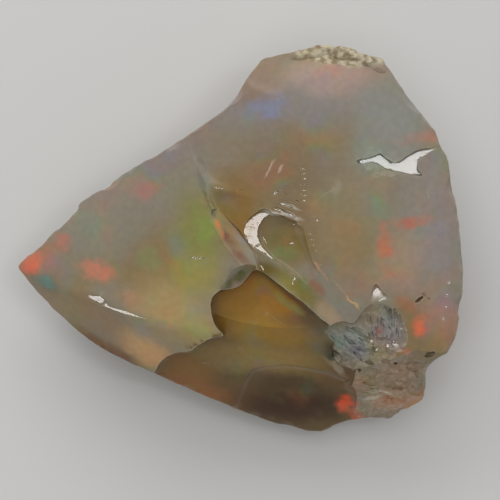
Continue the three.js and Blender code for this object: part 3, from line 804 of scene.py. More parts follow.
# %% [markdown]
# Breaks like glass also leave fine relief: ribs that fan out from where a crack turned, and shallow
# waves. Each fan has a middle, a range of directions and a range of distances. The ribs are added to
# the height of the points in it, and fade out towards its ends. In the crushed areas, folded noise
# makes creases that run along the splinters. Round the bird and the crescent the relief is nearly
# nothing, because a flake mirrors a lamp in one piece only if it is calm.

# %% Ribs and waves
FANS = [  # x, y, from and to degrees, from and to mm, ribs in the fan, height
    (-2.0, 2.2, -22, 42, 5.85, 6.6, 18, 0.01), (1.5, 1.9, -12, 48, 0.6, 2.9, 8, 0.02),
    (2.2, 0.4, 135, 235, 1.0, 2.2, 10, 0.006), (6.4, 3.3, -170, 60, 0.15, 1.3, 13, 0.012),
    (3.2, -3.0, 95, 150, 0.6, 2.6, 9, 0.012),
]
CALM = [(1.0, 0.5, 1.9), (9.3, 5.2, 1.5), (11.6, 5.2, 1.8)]  # x, y and reach
CALMING = 0.88  # share of the relief that is lost in the middle of a calm place
LEAST_RELIEF = 0.1
SCRATCHES = [  # fine ridges, or cracks if the height is negative: x, y, degrees, length, width, height, bend
    (1.7, 3.85, 65, 1.65, 0.08, 0.018, 0.05), (2.69, 4.5, 60, 0.6, 0.07, 0.016, 0),
    (2.4, 3.35, 22, 1.3, 0.07, 0.014, 0.05), (5.0, 2.2, 40, 1.8, 0.07, 0.015, 0),
    (4.7, -1.5, -48, 2.6, 0.08, 0.02, 0.03), (6.6, -3.1, -47, 2.2, 0.1, 0.045, 0),
    (1.9, -1.3, -40, 5.0, 0.08, 0.02, -0.03), (-1.5, 1.0, 113, 2.9, 0.08, -0.05, 0.02),
    (-1.2, -3.2, 38, 1.9, 0.07, -0.05, 0.08), (-0.5, -3.1, 42, 1.3, 0.06, 0.02, 0),
    (1.3, -2.1, -40, 4.6, 0.07, -0.03, 0.02),
]
TOP_WAVES = [(1.6, 0.006, 3), (0.5, 0.0012, 5)]  # size, height and seed
LOWER_WAVES = [(1.8, 0.05, 11), (0.6, 0.015, 13)]
CREASE_SPACING = 0.4
SPLINTERY = 2  # areas stretched more than this are splinters, and have grooves
SPLINTER_CREASE, CRUMB_CREASE = 0.05, 0.034  # depth of the creases in the two kinds of area
TOP_MARGIN = 0.3  # a point this little below the worked-out top still belongs to it


def wave(points, size, seed):
    return np.array([noise.noise(Vector(point) / size + Vector((seed, 0, 0))) for point in points])


def wave_sum(spots, kinds):
    return sum(height * wave(spots, size, seed) for size, height, seed in kinds)


def relief(spots):
    """Height that ribs, scratches and waves add to points of the top."""
    x, y = spots[:, 0], spots[:, 1]
    calm = np.ones(len(spots))
    for calm_x, calm_y, reach in CALM:
        calm -= CALMING * np.exp(-(np.hypot(x - calm_x, y - calm_y) / reach) ** 2)
    calm = np.maximum(calm, LEAST_RELIEF)
    added = calm * wave_sum(spots, TOP_WAVES)
    grooves = np.zeros(len(spots))
    for area_x, area_y, area_reach, _, _, _, stretch, degrees in CRUSHED.values():
        inside = np.clip(1.3 - np.hypot(x - area_x, y - area_y) / area_reach, 0, 1)
        along, across = np.array(turned(np.column_stack([x, y]), -degrees)).T
        wide, narrow = CREASE_SPACING * stretch, CREASE_SPACING / stretch**0.5
        folded = np.column_stack([along / wide, across / narrow, 0 * x])
        creases = np.abs(wave(folded + 0.25 * wave(spots, 0.5, 27)[:, None], 1, 21))
        depth = SPLINTER_CREASE if stretch > SPLINTERY else CRUMB_CREASE
        added += inside * depth * (creases - 0.25 + 0.36 * wave(spots, 0.2, 23))
        # the bottoms of these creases are kept for painted shade in the material
        if stretch > SPLINTERY:
            grooves = np.maximum(grooves, inside * np.clip(1 - creases * 7, 0, 1))
    ragged = wave(spots, 0.6, 9)
    for fan_x, fan_y, first, last, near, far, ribs, height in FANS:
        dx, dy = x - fan_x, y - fan_y
        out = np.hypot(dx, dy) * (1 + 0.15 * ragged)
        across = (np.degrees(np.arctan2(dy, dx)) - first) % 360 / (last - first)
        inside = np.clip(across * (1 - across) * 12, 0, 1) * (across <= 1)
        inside *= np.clip((out - near) * 3, 0, 1) * np.clip((far - out) / (far - near) * 2.2, 0, 1)
        ridge = np.abs((across * ribs + 0.9 * ragged + 0.25 * np.sin(out * 4)) % 1 - 0.5) * 2
        added += height * inside * (ridge - 0.5)
    for start_x, start_y, degrees, length, width, height, bend in SCRATCHES:
        turn = radians(degrees)
        dx, dy = x - start_x, y - start_y
        along = (dx * cos(turn) + dy * sin(turn)) / length
        beside = (-dx * sin(turn) + dy * cos(turn) - bend * length * along * (1 - along)) / width
        inside = np.clip(along * (1 - along) * 8, 0, 1) * ((along > 0) & (along < 1)) * np.exp(-(beside**2))
        added += height * inside
        # a crack is kept too, and the material paints shade along it
        if height < 0:
            grooves = np.maximum(grooves, inside)
    return added, grooves


points = list(bm.verts)
spots = np.array([vert.co for vert in points])
top_height = height_after(struck, spots[:, 0], spots[:, 1])
on_top = spots[:, 2] > top_height - TOP_MARGIN
added, grooves = relief(spots)
grooves *= on_top
below = wave_sum(spots, LOWER_WAVES)
for vert, normal, top, high, low in zip(points, [v.normal.copy() for v in points], on_top, added, below):
    if top and normal.z > 0.3:
        vert.co.z += high
    elif vert.co.z > 0.05:
        vert.co += normal * low

# %% [markdown]
# A break has two kinds of edge: sharp ones, where two scars meet at an angle, and soft swells between
# faces that are nearly in line. Only points that touch no sharp edge are smoothed, so the swells go
# soft and the sharp edges stay. The sharp outward edges are also where the stone is worn and pale, so
# their angle is kept as an attribute, and so is the kind of scar that each point lies in. The flakes
# that broke off last have an attribute of their own, because they are glossier than the rest.

# %% Edges, smoothing and attributes
SHARP = radians(26)
SOFTENING = 3  # times that the soft points are smoothed
WEAR_FROM, WEAR_RANGE = 0.35, 0.9  # angle of an edge at which wear begins, and how much more is full wear
SCAR_SHARE = 0.988  # the outermost rim of a scar is left to its surroundings

sharp = [edge for edge in bm.edges if edge.is_manifold and edge.calc_face_angle() > SHARP]
fixed = {vert for edge in sharp for vert in edge.verts}
soft = [vert for vert in bm.verts if vert not in fixed and vert.co.z > 0.02]
for _ in range(SOFTENING):
    bmesh.ops.smooth_vert(bm, verts=soft, factor=0.4, use_axis_x=True, use_axis_y=True, use_axis_z=True)
bmesh.ops.recalc_face_normals(bm, faces=bm.faces)
wear = np.zeros(len(points))
bm.verts.index_update()
for edge in bm.edges:
    edge.smooth = True
    if edge.is_manifold:
        angle = edge.calc_face_angle_signed()
        edge.smooth = abs(angle) < SHARP
        for vert in edge.verts:
            wear[vert.index] = max(wear[vert.index], min(1, (angle - WEAR_FROM) / WEAR_RANGE))
for face in bm.faces:
    face.smooth = True

order = list(SCARS)
spots = np.array([vert.co for vert in bm.verts])
surface = main_height(spots[:, 0], spots[:, 1])
owner = np.full(len(spots), -1)
for number, scar in enumerate(SCARS.values()):
    away = np.hypot(spots[:, 0] - scar["at"][0], spots[:, 1] - scar["at"][1])
    near = np.flatnonzero(away < scar["reaches"].max())
    share, _ = place_in(scar, spots[near, 0], spots[near, 1])
    height = scar_height(scar, spots[near, 0], spots[near, 1])
    lower = (share < SCAR_SHARE) & (height < surface[near])
    surface[near[lower]] = height[lower]
    owner[near[lower]] = number
owner = np.where(spots[:, 2] > surface - TOP_MARGIN, owner, -1)
HOLLOW = {"amber", "olive", "foot"}
FRESH = {"bird", "crescent", "triangle", "ridge", "glint"}  # how the names of the fresh flakes begin
ROUGH = {"feather", "corner", "left_lobe", "right_lobe"}


def owned_by(names):
    return np.isin(owner, [order.index(name) for name in names]).astype(float)


crushed_names = {name for name in order if name in ROUGH or name.split("_")[0] in CRUSHED}
fresh = owned_by({name for name in order if name.split("_")[0] in FRESH})
masks = np.column_stack([owned_by(HOLLOW), owned_by(crushed_names), grooves, np.clip(wear, 0, 1)])
bmesh.ops.scale(bm, vec=(MM, MM, MM), verts=bm.verts)
bm.to_mesh(stone.data)
bm.free()
record = stone.data.attributes.new("break_kinds", "FLOAT_COLOR", "POINT")
record.data.foreach_set("color", masks.ravel())
stone.data.attributes.new("fresh_flakes", "FLOAT", "POINT").data.foreach_set("value", fresh)
stone.data.update()
print("points in the hollow, the crushed areas and the grooves:", masks[:, :3].sum(axis=0).round())


def centre_on_solid(piece):
    """Moves the mesh, not the object, so that its box has the same middle across as the solid's, and the
    same bottom.
    """
    corners = np.array([vert.co for vert in piece.data.vertices])
    low, high = np.array(cad_box)
    shift = (low + high) / 2 - (corners.min(axis=0) + corners.max(axis=0)) / 2
    shift[2] = low[2] - corners[:, 2].min()
    piece.data.transform(Matrix.Translation(shift))
    return shift


print("moved by", centre_on_solid(stone).round(5), "m;", len(stone.data.polygons), "triangles")
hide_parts("opal")
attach(stone, "root")

# %% [markdown]
# Precious opal is water-bearing silica in tiny packed spheres. It is clear to milky, breaks with a
# glassy gloss, and bends light less than quartz. Where the spheres are regular they split light into
# colours, in soft patches with no outline. The material starts from the Principled shader with the
# opal's index of refraction, lets part of the light through, and tints it on the way.

# %% Helpers for materials
OPAL_IOR = 1.44


def linear(code):
    """The linear colour, with alpha, of an sRGB hex code."""
    parts = [int(code[i:i + 2], 16) / 255 for i in (1, 3, 5)]
    return [*(p / 12.92 if p <= 0.04045 else ((p + 0.055) / 1.055) ** 2.4 for p in parts), 1]


def add(tree, kind, links=None, **settings):
    """Adds a node. Settings are its own, and links gives each input a value or another node's output."""
    made = tree.nodes.new("ShaderNode" + kind)
    for name, value in settings.items():
        setattr(made, name, value)
    for name, value in (links or {}).items():
        if isinstance(value, bpy.types.NodeSocket):
            tree.links.new(value, made.inputs[name])
        else:
            made.inputs[name].default_value = value
    return made


def mixed(tree, share, first, second, blend="MIX"):
    """Colour between first and second."""
    return add(tree, "Mix", {0: share, 6: first, 7: second}, data_type="RGBA", blend_type=blend).outputs[2]


def maths(tree, operation, *values):
    """The result of an operation on values or other nodes' outputs."""
    return add(tree, "Math", dict(enumerate(values)), operation=operation).outputs[0]


def speckle(tree, spot, size, detail=3.0):
    """Noise from 0 to 1, with specks of a size in mm."""
    return add(tree, "TexNoise", {"Vector": spot, "Scale": 1 / (size * MM), "Detail": detail}).outputs[0]


def hues(tree, value, stops):
    """The colour that belongs to a value, from a row of places and colours."""
    ramp = add(tree, "ValToRGB", {0: value})
    while len(ramp.color_ramp.elements) < len(stops):
        ramp.color_ramp.elements.new(0.5)
    for element, (place, tone) in zip(ramp.color_ramp.elements, stops):
        element.position = place
        element.color = linear(tone)
    return ramp.outputs[0]


def eased(tree, value, low, high, to_low=0.0, to_high=1.0):
    """A value's range turned into another, with soft ends."""
    links = {"Value": value, "From Min": low, "From Max": high, "To Min": to_low, "To Max": to_high}
    return add(tree, "MapRange", links, interpolation_type="SMOOTHSTEP").outputs[0]


# %% [markdown]
# The colours of the stone are painted the way a retoucher would: a base for each kind of surface, and
# over it soft clouds. A cloud is a spherical gradient whose coordinates a Mapping node moves,
# turns and stretches, and noise in the coordinates frays it. Places and sizes are in millimetres from
# the middle of the stone. The skin, the hollow and the crushed areas have clouds of their own, and the
# flashes lie over all three. Not all of it is the stone's own colour. Some clouds are painted shade,
# darker towards the bottom rim and in a small cavity, and some are painted highlights: pale lines and
# streaks where a lamp would glint on ribs and ledges, and the pale triangle.

# %% Colours of the opal
SKIN_CLOUDS_AND_SHADE = [  # colour, place x y z, reach x y z, turn in degrees, strength
    ("#868071", (-8.5, 1.6, 8), (7.5, 4.0, 8), 35, 0.9),
    ("#8c7c73", (-5.5, 5.5, 9), (8.5, 2.2, 6), 38, 0.8),
    ("#8b8480", (3.5, 9.5, 9), (8.0, 4.2, 8), 0, 0.9),
    ("#ab9287", (6.3, 11.0, 8), (4.5, 2.0, 5), 0, 0.8),
    ("#8e7765", (1.2, 10.6, 9), (3.0, 2.4, 4), 40, 0.95),
    ("#8b8e89", (10.0, 7.5, 7), (4.5, 4.0, 6), -30, 0.8),
    ("#988d8f", (13.0, 0.5, 6), (3.6, 8.5, 6), 0, 0.9),
    ("#856f50", (2.6, 3.6, 9), (5.4, 5.6, 5), 0, 0.9),
    ("#8b662d", (-0.3, 1.6, 9), (2.8, 4.4, 4), 15, 0.95),
    ("#94805a", (7.2, 0.5, 8), (3.6, 5.2, 5), 10, 0.8),
    ("#b09078", (10.8, -1.6, 8), (2.6, 3.4, 5), 0, 0.7),
    ("#85824a", (-2.6, 0.4, 9), (2.6, 4.4, 5), 10, 0.95),
    ("#af9968", (-4.2, -4.9, 8), (4.6, 3.4, 5), -25, 0.95),
    ("#9e914d", (-2.9, -2.4, 9), (2.6, 2.4, 4), 0, 0.9),
    ("#ac9f5a", (-2.6, -6.2, 8), (1.8, 1.4, 4), 0, 0.8),
    ("#927858", (-10.0, -5.2, 6.5), (5.6, 1.6, 5), -33, 0.9),
    ("#d0a16a", (-6.2, -7.4, 6), (3.0, 1.5, 4), -28, 0.9),
    # painted shade: darker along the lower edge of the bevel, towards the bottom rim
    ("#724616", (-9.2, -7.3, 4.6), (5.2, 0.8, 3), -29, 0.9),
    ("#6f6f60", (-13.3, -2.9, 6.5), (2.0, 1.0, 3), -38, 0.8),
    ("#786b36", (3.0, -0.4, 9), (2.7, 1.9, 3), -20, 0.8),
    ("#664d08", (1.5, -2.0, 9), (1.8, 0.9, 3), -30, 0.95),
    ("#80732d", (3.9, -3.4, 9), (3.2, 1.1, 3), -40, 0.9),
    ("#b29375", (5.9, -5.0, 9), (1.7, 0.8, 3), -40, 0.7),
    ("#c68980", (13.2, -5.0, 6), (2.6, 3.2, 4), 0, 0.8),
    ("#b1715b", (-13.4, -1.5, 7), (2.2, 1.3, 4), 30, 0.75),
    ("#e5694c", (-14.2, -1.75, 7), (1.4, 0.85, 4), 30, 0.95),
]
HOLLOW_CLOUDS_AND_SHADE = [
    ("#ab7e2d", (0.6, -4.4, 8), (3.6, 3.2, 5), -20, 0.95),
    ("#b97d21", (2.4, -3.8, 8), (2.8, 1.5, 4), -35, 0.8),
    ("#a77f29", (2.2, -6.2, 8), (4.8, 1.4, 4), -10, 0.8),
    ("#a08247", (1.6, -8.0, 7), (6.0, 1.7, 4), -5, 0.9),
    ("#8e6834", (-3.4, -8.8, 6), (2.8, 1.8, 4), -25, 0.9),
    ("#8f7645", (-1.3, -7.9, 7), (2.6, 1.3, 4), -8, 0.8),
    ("#956132", (-2.8, -10.2, 4), (4.4, 1.3, 3), -25, 0.9),
    # painted shade: the foot of the hollow is darker towards the bottom rim
    ("#40230a", (3.6, -11.2, 4), (6.0, 1.9, 3), 0, 0.95),
    ("#4f3a1c", (3.4, -9.8, 5), (3.8, 1.0, 3), 0, 0.7),
]
CRUSHED_CLOUDS_AND_HIGHLIGHT = [
    ("#9ca59d", (7.6, -6.8, 8), (1.7, 2.0, 3), -20, 0.95),
    ("#716b7a", (8.0, -7.6, 8), (1.2, 1.1, 3), -30, 0.8),
    ("#8b868a", (10.0, -6.0, 8), (1.8, 1.8, 3), 20, 0.95),
    ("#a6886a", (10.6, -8.8, 6), (2.6, 1.7, 4), 0, 0.9),
    ("#b7906e", (10.6, -10.8, 5), (2.6, 1.6, 4), 10, 0.9),
    ("#b88a5c", (11.6, -11.3, 5), (1.4, 0.9, 4), 30, 0.7),
    ("#a18462", (8.6, -9.6, 6), (1.8, 1.2, 3), 0, 0.8),
    # painted highlight: the pale tone of the triangle, besides the key light that its flake mirrors
    ("#bdb6b2", (9.3, -3.7, 8.5), (0.9, 0.9, 2), 0, 0.7),
]
FLASHES_AND_PAINTED_LIGHT = [
    ("#c96a58", (-12.0, -0.3, 8), (1.2, 0.8, 3), 45, 0.6),
    ("#d07a5e", (-9.7, -2.1, 8), (1.9, 1.0, 3), -10, 0.75),
    ("#b0736a", (-6.2, 3.2, 9), (1.6, 0.8, 3), 30, 0.55),
    ("#d98552", (-4.5, -5.7, 8), (0.6, 0.8, 2), 0, 0.85),
    ("#b98a68", (-6.6, -4.6, 8), (2.6, 0.8, 2), -30, 0.5),
    ("#869c48", (-2.3, 0.7, 9), (1.3, 2.3, 3), 12, 0.5),
    ("#8a9a58", (-3.4, -6.0, 8), (1.0, 0.7, 2), 0, 0.6),
    ("#7f9660", (-6.0, -1.4, 9), (1.3, 1.2, 3), 0, 0.4),
    ("#7f88a8", (1.9, 8.8, 10), (1.9, 1.4, 3), 20, 0.6),
    ("#7f8590", (-4.3, 5.6, 9), (1.6, 0.8, 3), 30, 0.4),
    ("#c8765e", (11.4, 6.6, 7), (3.0, 0.7, 3), 8, 0.75),
    ("#86a860", (12.0, 2.4, 7), (0.7, 0.5, 2), 0, 0.7),
    ("#7f9470", (9.4, 2.6, 8), (0.9, 1.8, 3), 0, 0.45),
    ("#cf6c50", (9.9, -0.8, 8), (1.0, 2.6, 3), 8, 0.8),
    ("#c26c58", (11.4, 1.1, 8), (2.2, 0.7, 3), 12, 0.7),
    ("#7f86a0", (13.2, 0.6, 7), (1.0, 1.4, 3), 0, 0.4),
    ("#f0734c", (12.2, -5.7, 7), (1.2, 1.15, 3), 0, 0.95),
    ("#c96a50", (11.0, -7.4, 7), (0.8, 0.5, 2), 0, 0.6),
    ("#ee5424", (7.3, -11.35, 5), (1.3, 0.8, 3), -35, 1.0),
    ("#c9552c", (8.0, -11.9, 4), (0.8, 0.5, 3), -20, 0.8),
    ("#b0603a", (10.4, -10.9, 5), (1.2, 0.5, 2), 0, 0.6),
    ("#b04a4a", (9.4, -6.0, 8), (0.35, 0.7, 2), 0, 0.7),
    ("#69968a", (6.6, -7.1, 8), (0.4, 0.9, 2), 10, 0.7),
    # painted shadow in the small cavity beside the crushed patch, and a painted highlight on the lip below
    # it
    ("#2f281e", (6.1, -7.5, 7), (0.55, 1.1, 2), 8, 1.0),
    ("#a99b80", (6.5, -8.75, 7), (1.5, 0.24, 2), -42, 0.8),
    ("#777060", (-2.5, 4.2, 9), (0.55, 2.8, 2), 18, 0.6),
    # painted highlights: pale lines where the key light would glint on fine ribs
    ("#b5ab98", (2.1, 4.65, 9), (0.13, 1.1, 2), -27, 0.8),
    ("#b5ab98", (2.83, 4.7, 9), (0.12, 0.5, 2), -30, 0.7),
    ("#a89c84", (5.7, 2.8, 9), (0.12, 1.3, 2), -50, 0.6),
    # painted highlights: pale streaks along the ribs beside the crescent, next to its glint flakes
    ("#c8c1b6", (2.8, 1.74, 9), (1.8, 0.22, 2), -18, 0.95),
    ("#beb6aa", (3.3, 2.22, 9), (1.1, 0.16, 2), -24, 0.8),
    ("#a89c84", (6.4, 3.3, 9), (0.6, 0.6, 2), 0, 0.4),
    # painted highlights: pale streaks where the small ledges of the crumbly corner would glint
    ("#cfc4b0", (9.4, -10.3, 5), (1.4, 0.2, 3), -8, 0.8),
    ("#cfc4b0", (9.0, -10.8, 5), (1.1, 0.18, 3), 5, 0.7),
    ("#c5824f", (12.0, -11.0, 4.5), (0.9, 1.8, 4), -35, 0.85),
    ("#76573a", (-0.6, -0.4, 9), (1.0, 2.9, 2), 35, 0.85),
    ("#6f3a26", (-0.9, 0.0, 9), (0.6, 1.5, 2), 33, 1.0),
    ("#6f3a26", (-0.2, -0.95, 9), (0.6, 1.4, 2), 36, 0.9),
    ("#d07a30", (-1.45, 0.7, 9), (0.34, 1.6, 2), 22, 0.95),
    ("#a0522a", (-4.0, -10.4, 4), (2.4, 0.5, 2), -24, 0.25),
    ("#5c8f86", (-13.2, -3.0, 6), (1.2, 0.6, 2), -38, 0.6),
    ("#96a05a", (3.2, -4.2, 8.6), (1.8, 0.4, 2), -38, 0.45),
    ("#94603f", (5.05, -3.1, 9), (0.5, 1.3, 2), 34, 0.65),
    ("#6f8f5a", (3.0, -0.9, 9), (1.2, 0.7, 2), 0, 0.4),
    ("#857c72", (0.3, -0.4, 9), (0.42, 2.2, 2), 33, 0.9),
    ("#c8a67c", (7.3, -3.9, 9), (1.7, 0.14, 2), -48, 0.9),
    ("#b98f66", (5.3, -2.2, 9), (1.3, 0.12, 2), -52, 0.7),
    ("#b06a4c", (11.0, -4.4, 8), (1.3, 0.8, 2), -20, 0.5),
    ("#525a2e", (-0.3, -2.7, 9.5), (0.8, 1.7, 2), -48, 1.0),
    ("#6f7a4a", (4.2, -2.9, 9), (0.5, 0.8, 2), 40, 0.5),
    ("#b98a78", (6.0, 11.2, 8), (1.6, 0.7, 2), 10, 0.6),
]
FULL_CLOUD, FULL_RAGGED = 0.75, 0.85  # how near its middle a cloud is at full strength, 1 being there


def soft_ball(tree, spot, place, reach, turn=0):
    """1 at a place, falling to 0 at its reach in x, y and z, all in mm."""
    links = {
        "Vector": spot, "Location": [value * MM for value in place],
        "Rotation": (0, 0, radians(turn)), "Scale": [value * MM for value in reach],
    }
    moved = add(tree, "Mapping", links, vector_type="TEXTURE").outputs[0]
    return add(tree, "TexGradient", {"Vector": moved}, gradient_type="SPHERICAL").outputs[1]


def painted(tree, spot, colour, clouds, ragged=None):
    """Lays the clouds over a colour, in their order. A ragged noise frays the edge of each."""
    full = FULL_CLOUD if ragged is None else FULL_RAGGED
    for tone, place, reach, turn, strength in clouds:
        ball = soft_ball(tree, spot, place, reach, turn)
        if ragged is not None:
            ball = maths(tree, "MULTIPLY", ball, ragged)
        colour = mixed(tree, eased(tree, ball, 0.0, full, 0.0, strength), colour, linear(tone))
    return colour


def frayed(tree, spot, size, depth):
    """Coordinates moved about by noise of a size, as far as depth, both in mm."""
    cloud = add(tree, "TexNoise", {"Vector": spot, "Scale": 1 / (size * MM), "Detail": 3.0}).outputs[1]
    links = {0: cloud, 1: [2 * depth * MM] * 3, 2: [-depth * MM] * 3}
    scaled = add(tree, "VectorMath", links, operation="MULTIPLY_ADD").outputs[0]
    return add(tree, "VectorMath", {0: spot, 1: scaled}, operation="ADD").outputs[0]


# %% [markdown]
# The layers are mixed by the attributes that the mesh carries. A crushed area also fades out away from
# two places, so that a splinter on its own keeps the colour of the skin. The bottom of a groove or a
# crack is painted darker than what it runs through: painted shade in the crease.

# %% The layers of colour
opal = bpy.data.materials.new("precious_opal_broken")
opal.use_nodes = True
tree = opal.node_tree
shader = tree.nodes["Principled BSDF"]
spot = add(tree, "TexCoord").outputs["Object"]
kinds = add(tree, "Attribute", attribute_name="break_kinds")
kind = add(tree, "SeparateColor", {0: kinds.outputs["Color"]})
hollow_mask, crushed_mask, groove_shade = kind.outputs[:3]
wear_mask = kinds.outputs["Alpha"]
loose = frayed(tree, frayed(tree, spot, 2.6, 0.6), 0.7, 0.22)

honey_or_milk = eased(tree, speckle(tree, spot, 7, 4.0), 0.4, 0.62)
skin = mixed(tree, honey_or_milk, linear("#8a8272"), linear("#8b7550"))
skin = painted(tree, loose, skin, SKIN_CLOUDS_AND_SHADE)
hollow = painted(tree, loose, linear("#6e5633"), HOLLOW_CLOUDS_AND_SHADE)
crushed = painted(tree, loose, linear("#8d8069"), CRUSHED_CLOUDS_AND_HIGHLIGHT)
body = mixed(tree, hollow_mask, skin, hollow)
patch = soft_ball(tree, loose, (8.2, -7.6, 7.5), (4.0, 5.0, 5.0))
crumbly = soft_ball(tree, loose, (11.0, -10.6, 5.0), (4.6, 3.6, 5.0))
either = maths(tree, "MAXIMUM", patch, crumbly)
broken = maths(tree, "MULTIPLY", eased(tree, either, 0.0, 0.34), crushed_mask)
body = mixed(tree, broken, body, crushed)
tatter = eased(tree, speckle(tree, spot, 1.0, 4.0), 0.25, 0.7, 0.4, 1.7)
body = painted(tree, loose, body, FLASHES_AND_PAINTED_LIGHT, tatter)
# painted shade at the bottom of grooves and cracks
body = mixed(tree, eased(tree, groove_shade, 0.0, 0.9, 0.0, 0.45), body, linear("#463d42"))

# %% [markdown]
# Besides the large flashes, the whole stone has a faint play of colour: patches about 1.8 mm across,
# each with a hue of its own. Voronoi cells give the patches, a colour ramp gives only the hues that
# opal shows, and a noise decides where it is strong. In the crushed areas a finer noise picks the
# colours of single crumbs, from brown through grey to pale. Fine mottling and the pale worn edges
# come last.

# %% Play of colour
PLAY = [
    (0.0, "#c2604a"), (0.22, "#b98a4a"), (0.42, "#7f9a50"), (0.6, "#5f9a8a"), (0.8, "#6f7fa8"),
    (1.0, "#9a6f90"),
]
CRUMBS = [
    (0.0, "#5b4a40"), (0.3, "#8a6a4a"), (0.5, "#7d8279"), (0.68, "#8d7f92"), (0.85, "#c3b7a4"),
    (1.0, "#d8cfc0"),
]
cell_links = {"Vector": loose, "Scale": 1 / (1.8 * MM), "Smoothness": 1.0}
cells = add(tree, "TexVoronoi", cell_links, feature="SMOOTH_F1")
hue = add(tree, "SeparateColor", {0: cells.outputs["Color"]}).outputs[0]
where = speckle(tree, spot, 2.6)
body = mixed(tree, eased(tree, where, 0.45, 0.72, 0.02, 0.22), body, hues(tree, hue, PLAY))
crumb = eased(tree, speckle(tree, spot, 0.3), 0.3, 0.7)
body = mixed(tree, eased(tree, broken, 0.0, 1.0, 0.0, 0.17), body, hues(tree, crumb, CRUMBS))
mottle = speckle(tree, spot, 0.45, 4.0)
shade = eased(tree, mottle, 0.3, 0.7, 0.95, 1.05)
shades = add(tree, "CombineColor", {0: shade, 1: shade, 2: shade}).outputs[0]
body = mixed(tree, 1.0, body, shades, "MULTIPLY")
body = mixed(tree, eased(tree, wear_mask, 0.35, 1.0, 0.0, 0.3), body, linear("#b5ab98"))

# %% [markdown]
# The crust on the broad end is what is left of the host rock: weathered volcanic ash, dull and
# beige. It lies only along the top edge, so a band through that place switches the gloss off and the
# colour over. The gloss is a clear coat over a softer body. Round the bird it is turned down in a given
# patch, because the skin beside the flake would blur its outline, while the fresh flakes keep all of it.
# Part of the light passes through, and an absorbing volume tints it honey on the way.

# %% Crust, gloss and depth
crust_ball = soft_ball(tree, loose, (6.4, 12.7, 7.6), (5.2, 1.7, 2.6), -12)
crust = eased(tree, crust_ball, 0.22, 0.4)
ash = mixed(tree, eased(tree, mottle, 0.35, 0.65), linear("#7f7158"), linear("#b5ab93"))
body = mixed(tree, crust, body, ash)
tree.links.new(body, shader.inputs["Base Color"])

gloss = eased(tree, speckle(tree, spot, 1.2, 5.0), 0.3, 0.75, 0.4, 0.55)
tree.links.new(gloss, shader.inputs["Roughness"])
weathered = eased(tree, soft_ball(tree, loose, (4.2, 12.4, 8.0), (6.0, 3.4, 4.0)), 0.05, 0.4)
bare = maths(tree, "MULTIPLY_ADD", weathered, -1.0, 1.0)
fresh_mask = add(tree, "Attribute", attribute_name="fresh_flakes").outputs["Fac"]
beside_bird = soft_ball(tree, loose, (10.6, 5.0, 8.0), (5.6, 3.8, 5.0))
turned_down = eased(tree, beside_bird, 0.0, 0.4, 1.0, 0.1)
glossy = maths(tree, "MAXIMUM", turned_down, fresh_mask)
tree.links.new(maths(tree, "MULTIPLY", glossy, bare), shader.inputs["Coat Weight"])

clear = eased(tree, hollow_mask, 0.0, 1.0, 0.16, 0.22)
clear = mixed(tree, crushed_mask, clear, [0.15, 0.15, 0.15, 1])
clear = mixed(tree, crust, clear, [0, 0, 0, 1])
tree.links.new(clear, shader.inputs["Transmission Weight"])
plain = {"Coat Roughness": 0.06, "Coat IOR": OPAL_IOR, "Specular IOR Level": 0.1, "IOR": OPAL_IOR}
for name, value in plain.items():
    shader.inputs[name].default_value = value

grain = speckle(tree, spot, 0.16)
grain_height = maths(tree, "MULTIPLY_ADD", crust, 0.9, 0.05)
bump = add(tree, "Bump", {"Strength": grain_height, "Distance": 0.08 * MM, "Height": grain})
tree.links.new(bump.outputs[0], shader.inputs["Normal"])

honey_glass = add(tree, "VolumeAbsorption", {"Color": linear("#d8b070"), "Density": 70.0})
out = tree.nodes["Material Output"]
tree.links.new(honey_glass.outputs[0], out.inputs["Volume"])
stone.data.materials.clear()
stone.data.materials.append(opal)
print("opal material:", len(tree.nodes), "nodes")

# %% [markdown]
# The floor is plain pale paper. The light is a grey room, one small bright softbox high on the right,
# which the flakes mirror as white shapes, one low on the left for the long ridge, and two wide soft
# ones. One of these stands at the back and models the form, the other hangs above and lights the top
# evenly. Only the gloss doesn't see the two wide ones, or the whole top would mirror them and go pale.

# %% Floor, light and camera
bm = bmesh.new()
bmesh.ops.create_grid(bm, x_segments=1, y_segments=1, size=1.5)
floor = finished(bm, "floor")
paper = bpy.data.materials.new("floor_paper")
paper.use_nodes = True
sheet = paper.node_tree.nodes["Principled BSDF"]
sheet.inputs["Base Color"].default_value = linear("#c9c8c6")
sheet.inputs["Roughness"].default_value = 0.85
floor.data.materials.append(paper)

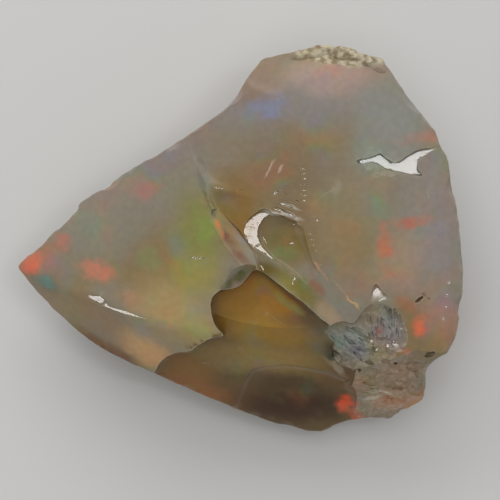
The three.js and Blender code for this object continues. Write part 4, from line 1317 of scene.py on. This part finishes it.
BACK_GLOW = 1.15  # the wall behind the stone lights it
FRONT_GLOW = 0.35  # the wall in front is darker, so the faces that lean to it are too
CEILING_GLOW = 0.12  # the ceiling is dark, so that the top doesn't mirror it
world = bpy.data.worlds.new("grey_room")
world.use_nodes = True
room = world.node_tree
heading = add(room, "SeparateXYZ", {0: add(room, "TexCoord").outputs["Generated"]})
wall = eased(room, heading.outputs[1], -0.9, 0.9, FRONT_GLOW, BACK_GLOW)
glow = eased(room, heading.outputs[2], 0.6, 0.85, wall, CEILING_GLOW)
room.links.new(glow, room.nodes["Background"].inputs["Strength"])
room.nodes["Background"].inputs["Color"].default_value = (1, 1, 1, 1)
bpy.context.scene.world = world
bpy.context.scene.view_settings.view_transform = "Standard"

SENSOR_WIDTH = 36
CAMERA_DISTANCE = 0.45
VIEW_WIDTH = 0.03363  # what the photograph's frame spans at the height of the rim
camera = bpy.data.cameras.new("camera")
camera.sensor_width = SENSOR_WIDTH
camera.lens = SENSOR_WIDTH * CAMERA_DISTANCE / VIEW_WIDTH
camera.clip_start = 0.01
viewer = bpy.data.objects.new("camera", camera)
viewer.location = Vector(CAMERA_AT) * MM
bpy.context.collection.objects.link(viewer)
bpy.context.scene.camera = viewer


SOFTBOXES = {  # where it stands and faces, direction of its width, width, height, brightness, mirrored
    "key_softbox": (KEY_AT, (11.0, 5.1, 9.0), 0, 0.11, 0.024, 15, True),
    "ridge_softbox": (RIDGE_LIGHT_AT, (-8.2, -4.8, 8.0), 132, 0.05, 0.09, 12, True),
    "back_softbox": ((-85, 425, 258), (0, 0, 8), 10, 0.5, 0.3, 2.2, False),
    "top_softbox": ((0, 60, 640), (0, 0, 8), 0, 0.5, 0.5, 1.85, False),
}


def softbox(name, at, place, along, width, height, brightness, mirrored):
    """An area light. Its places are in mm, its size is in metres, and its width runs along a direction."""
    away = (Vector(at) - Vector(place)).normalized()
    across = Vector((cos(radians(along)), sin(radians(along)), 0))
    across = (across - away * across.dot(away)).normalized()
    lamp = bpy.data.lights.new(name, "AREA")
    lamp.shape = "RECTANGLE"
    lamp.size, lamp.size_y = width, height
    lamp.energy = brightness * pi * width * height
    holder = bpy.data.objects.new(name, lamp)
    bpy.context.collection.objects.link(holder)
    facing = Matrix((across, away.cross(across), away)).transposed().to_4x4()
    holder.matrix_world = Matrix.Translation(Vector(at) * MM) @ facing
    holder.visible_glossy = mirrored


for name, lamp in SOFTBOXES.items():
    softbox(name, *lamp)
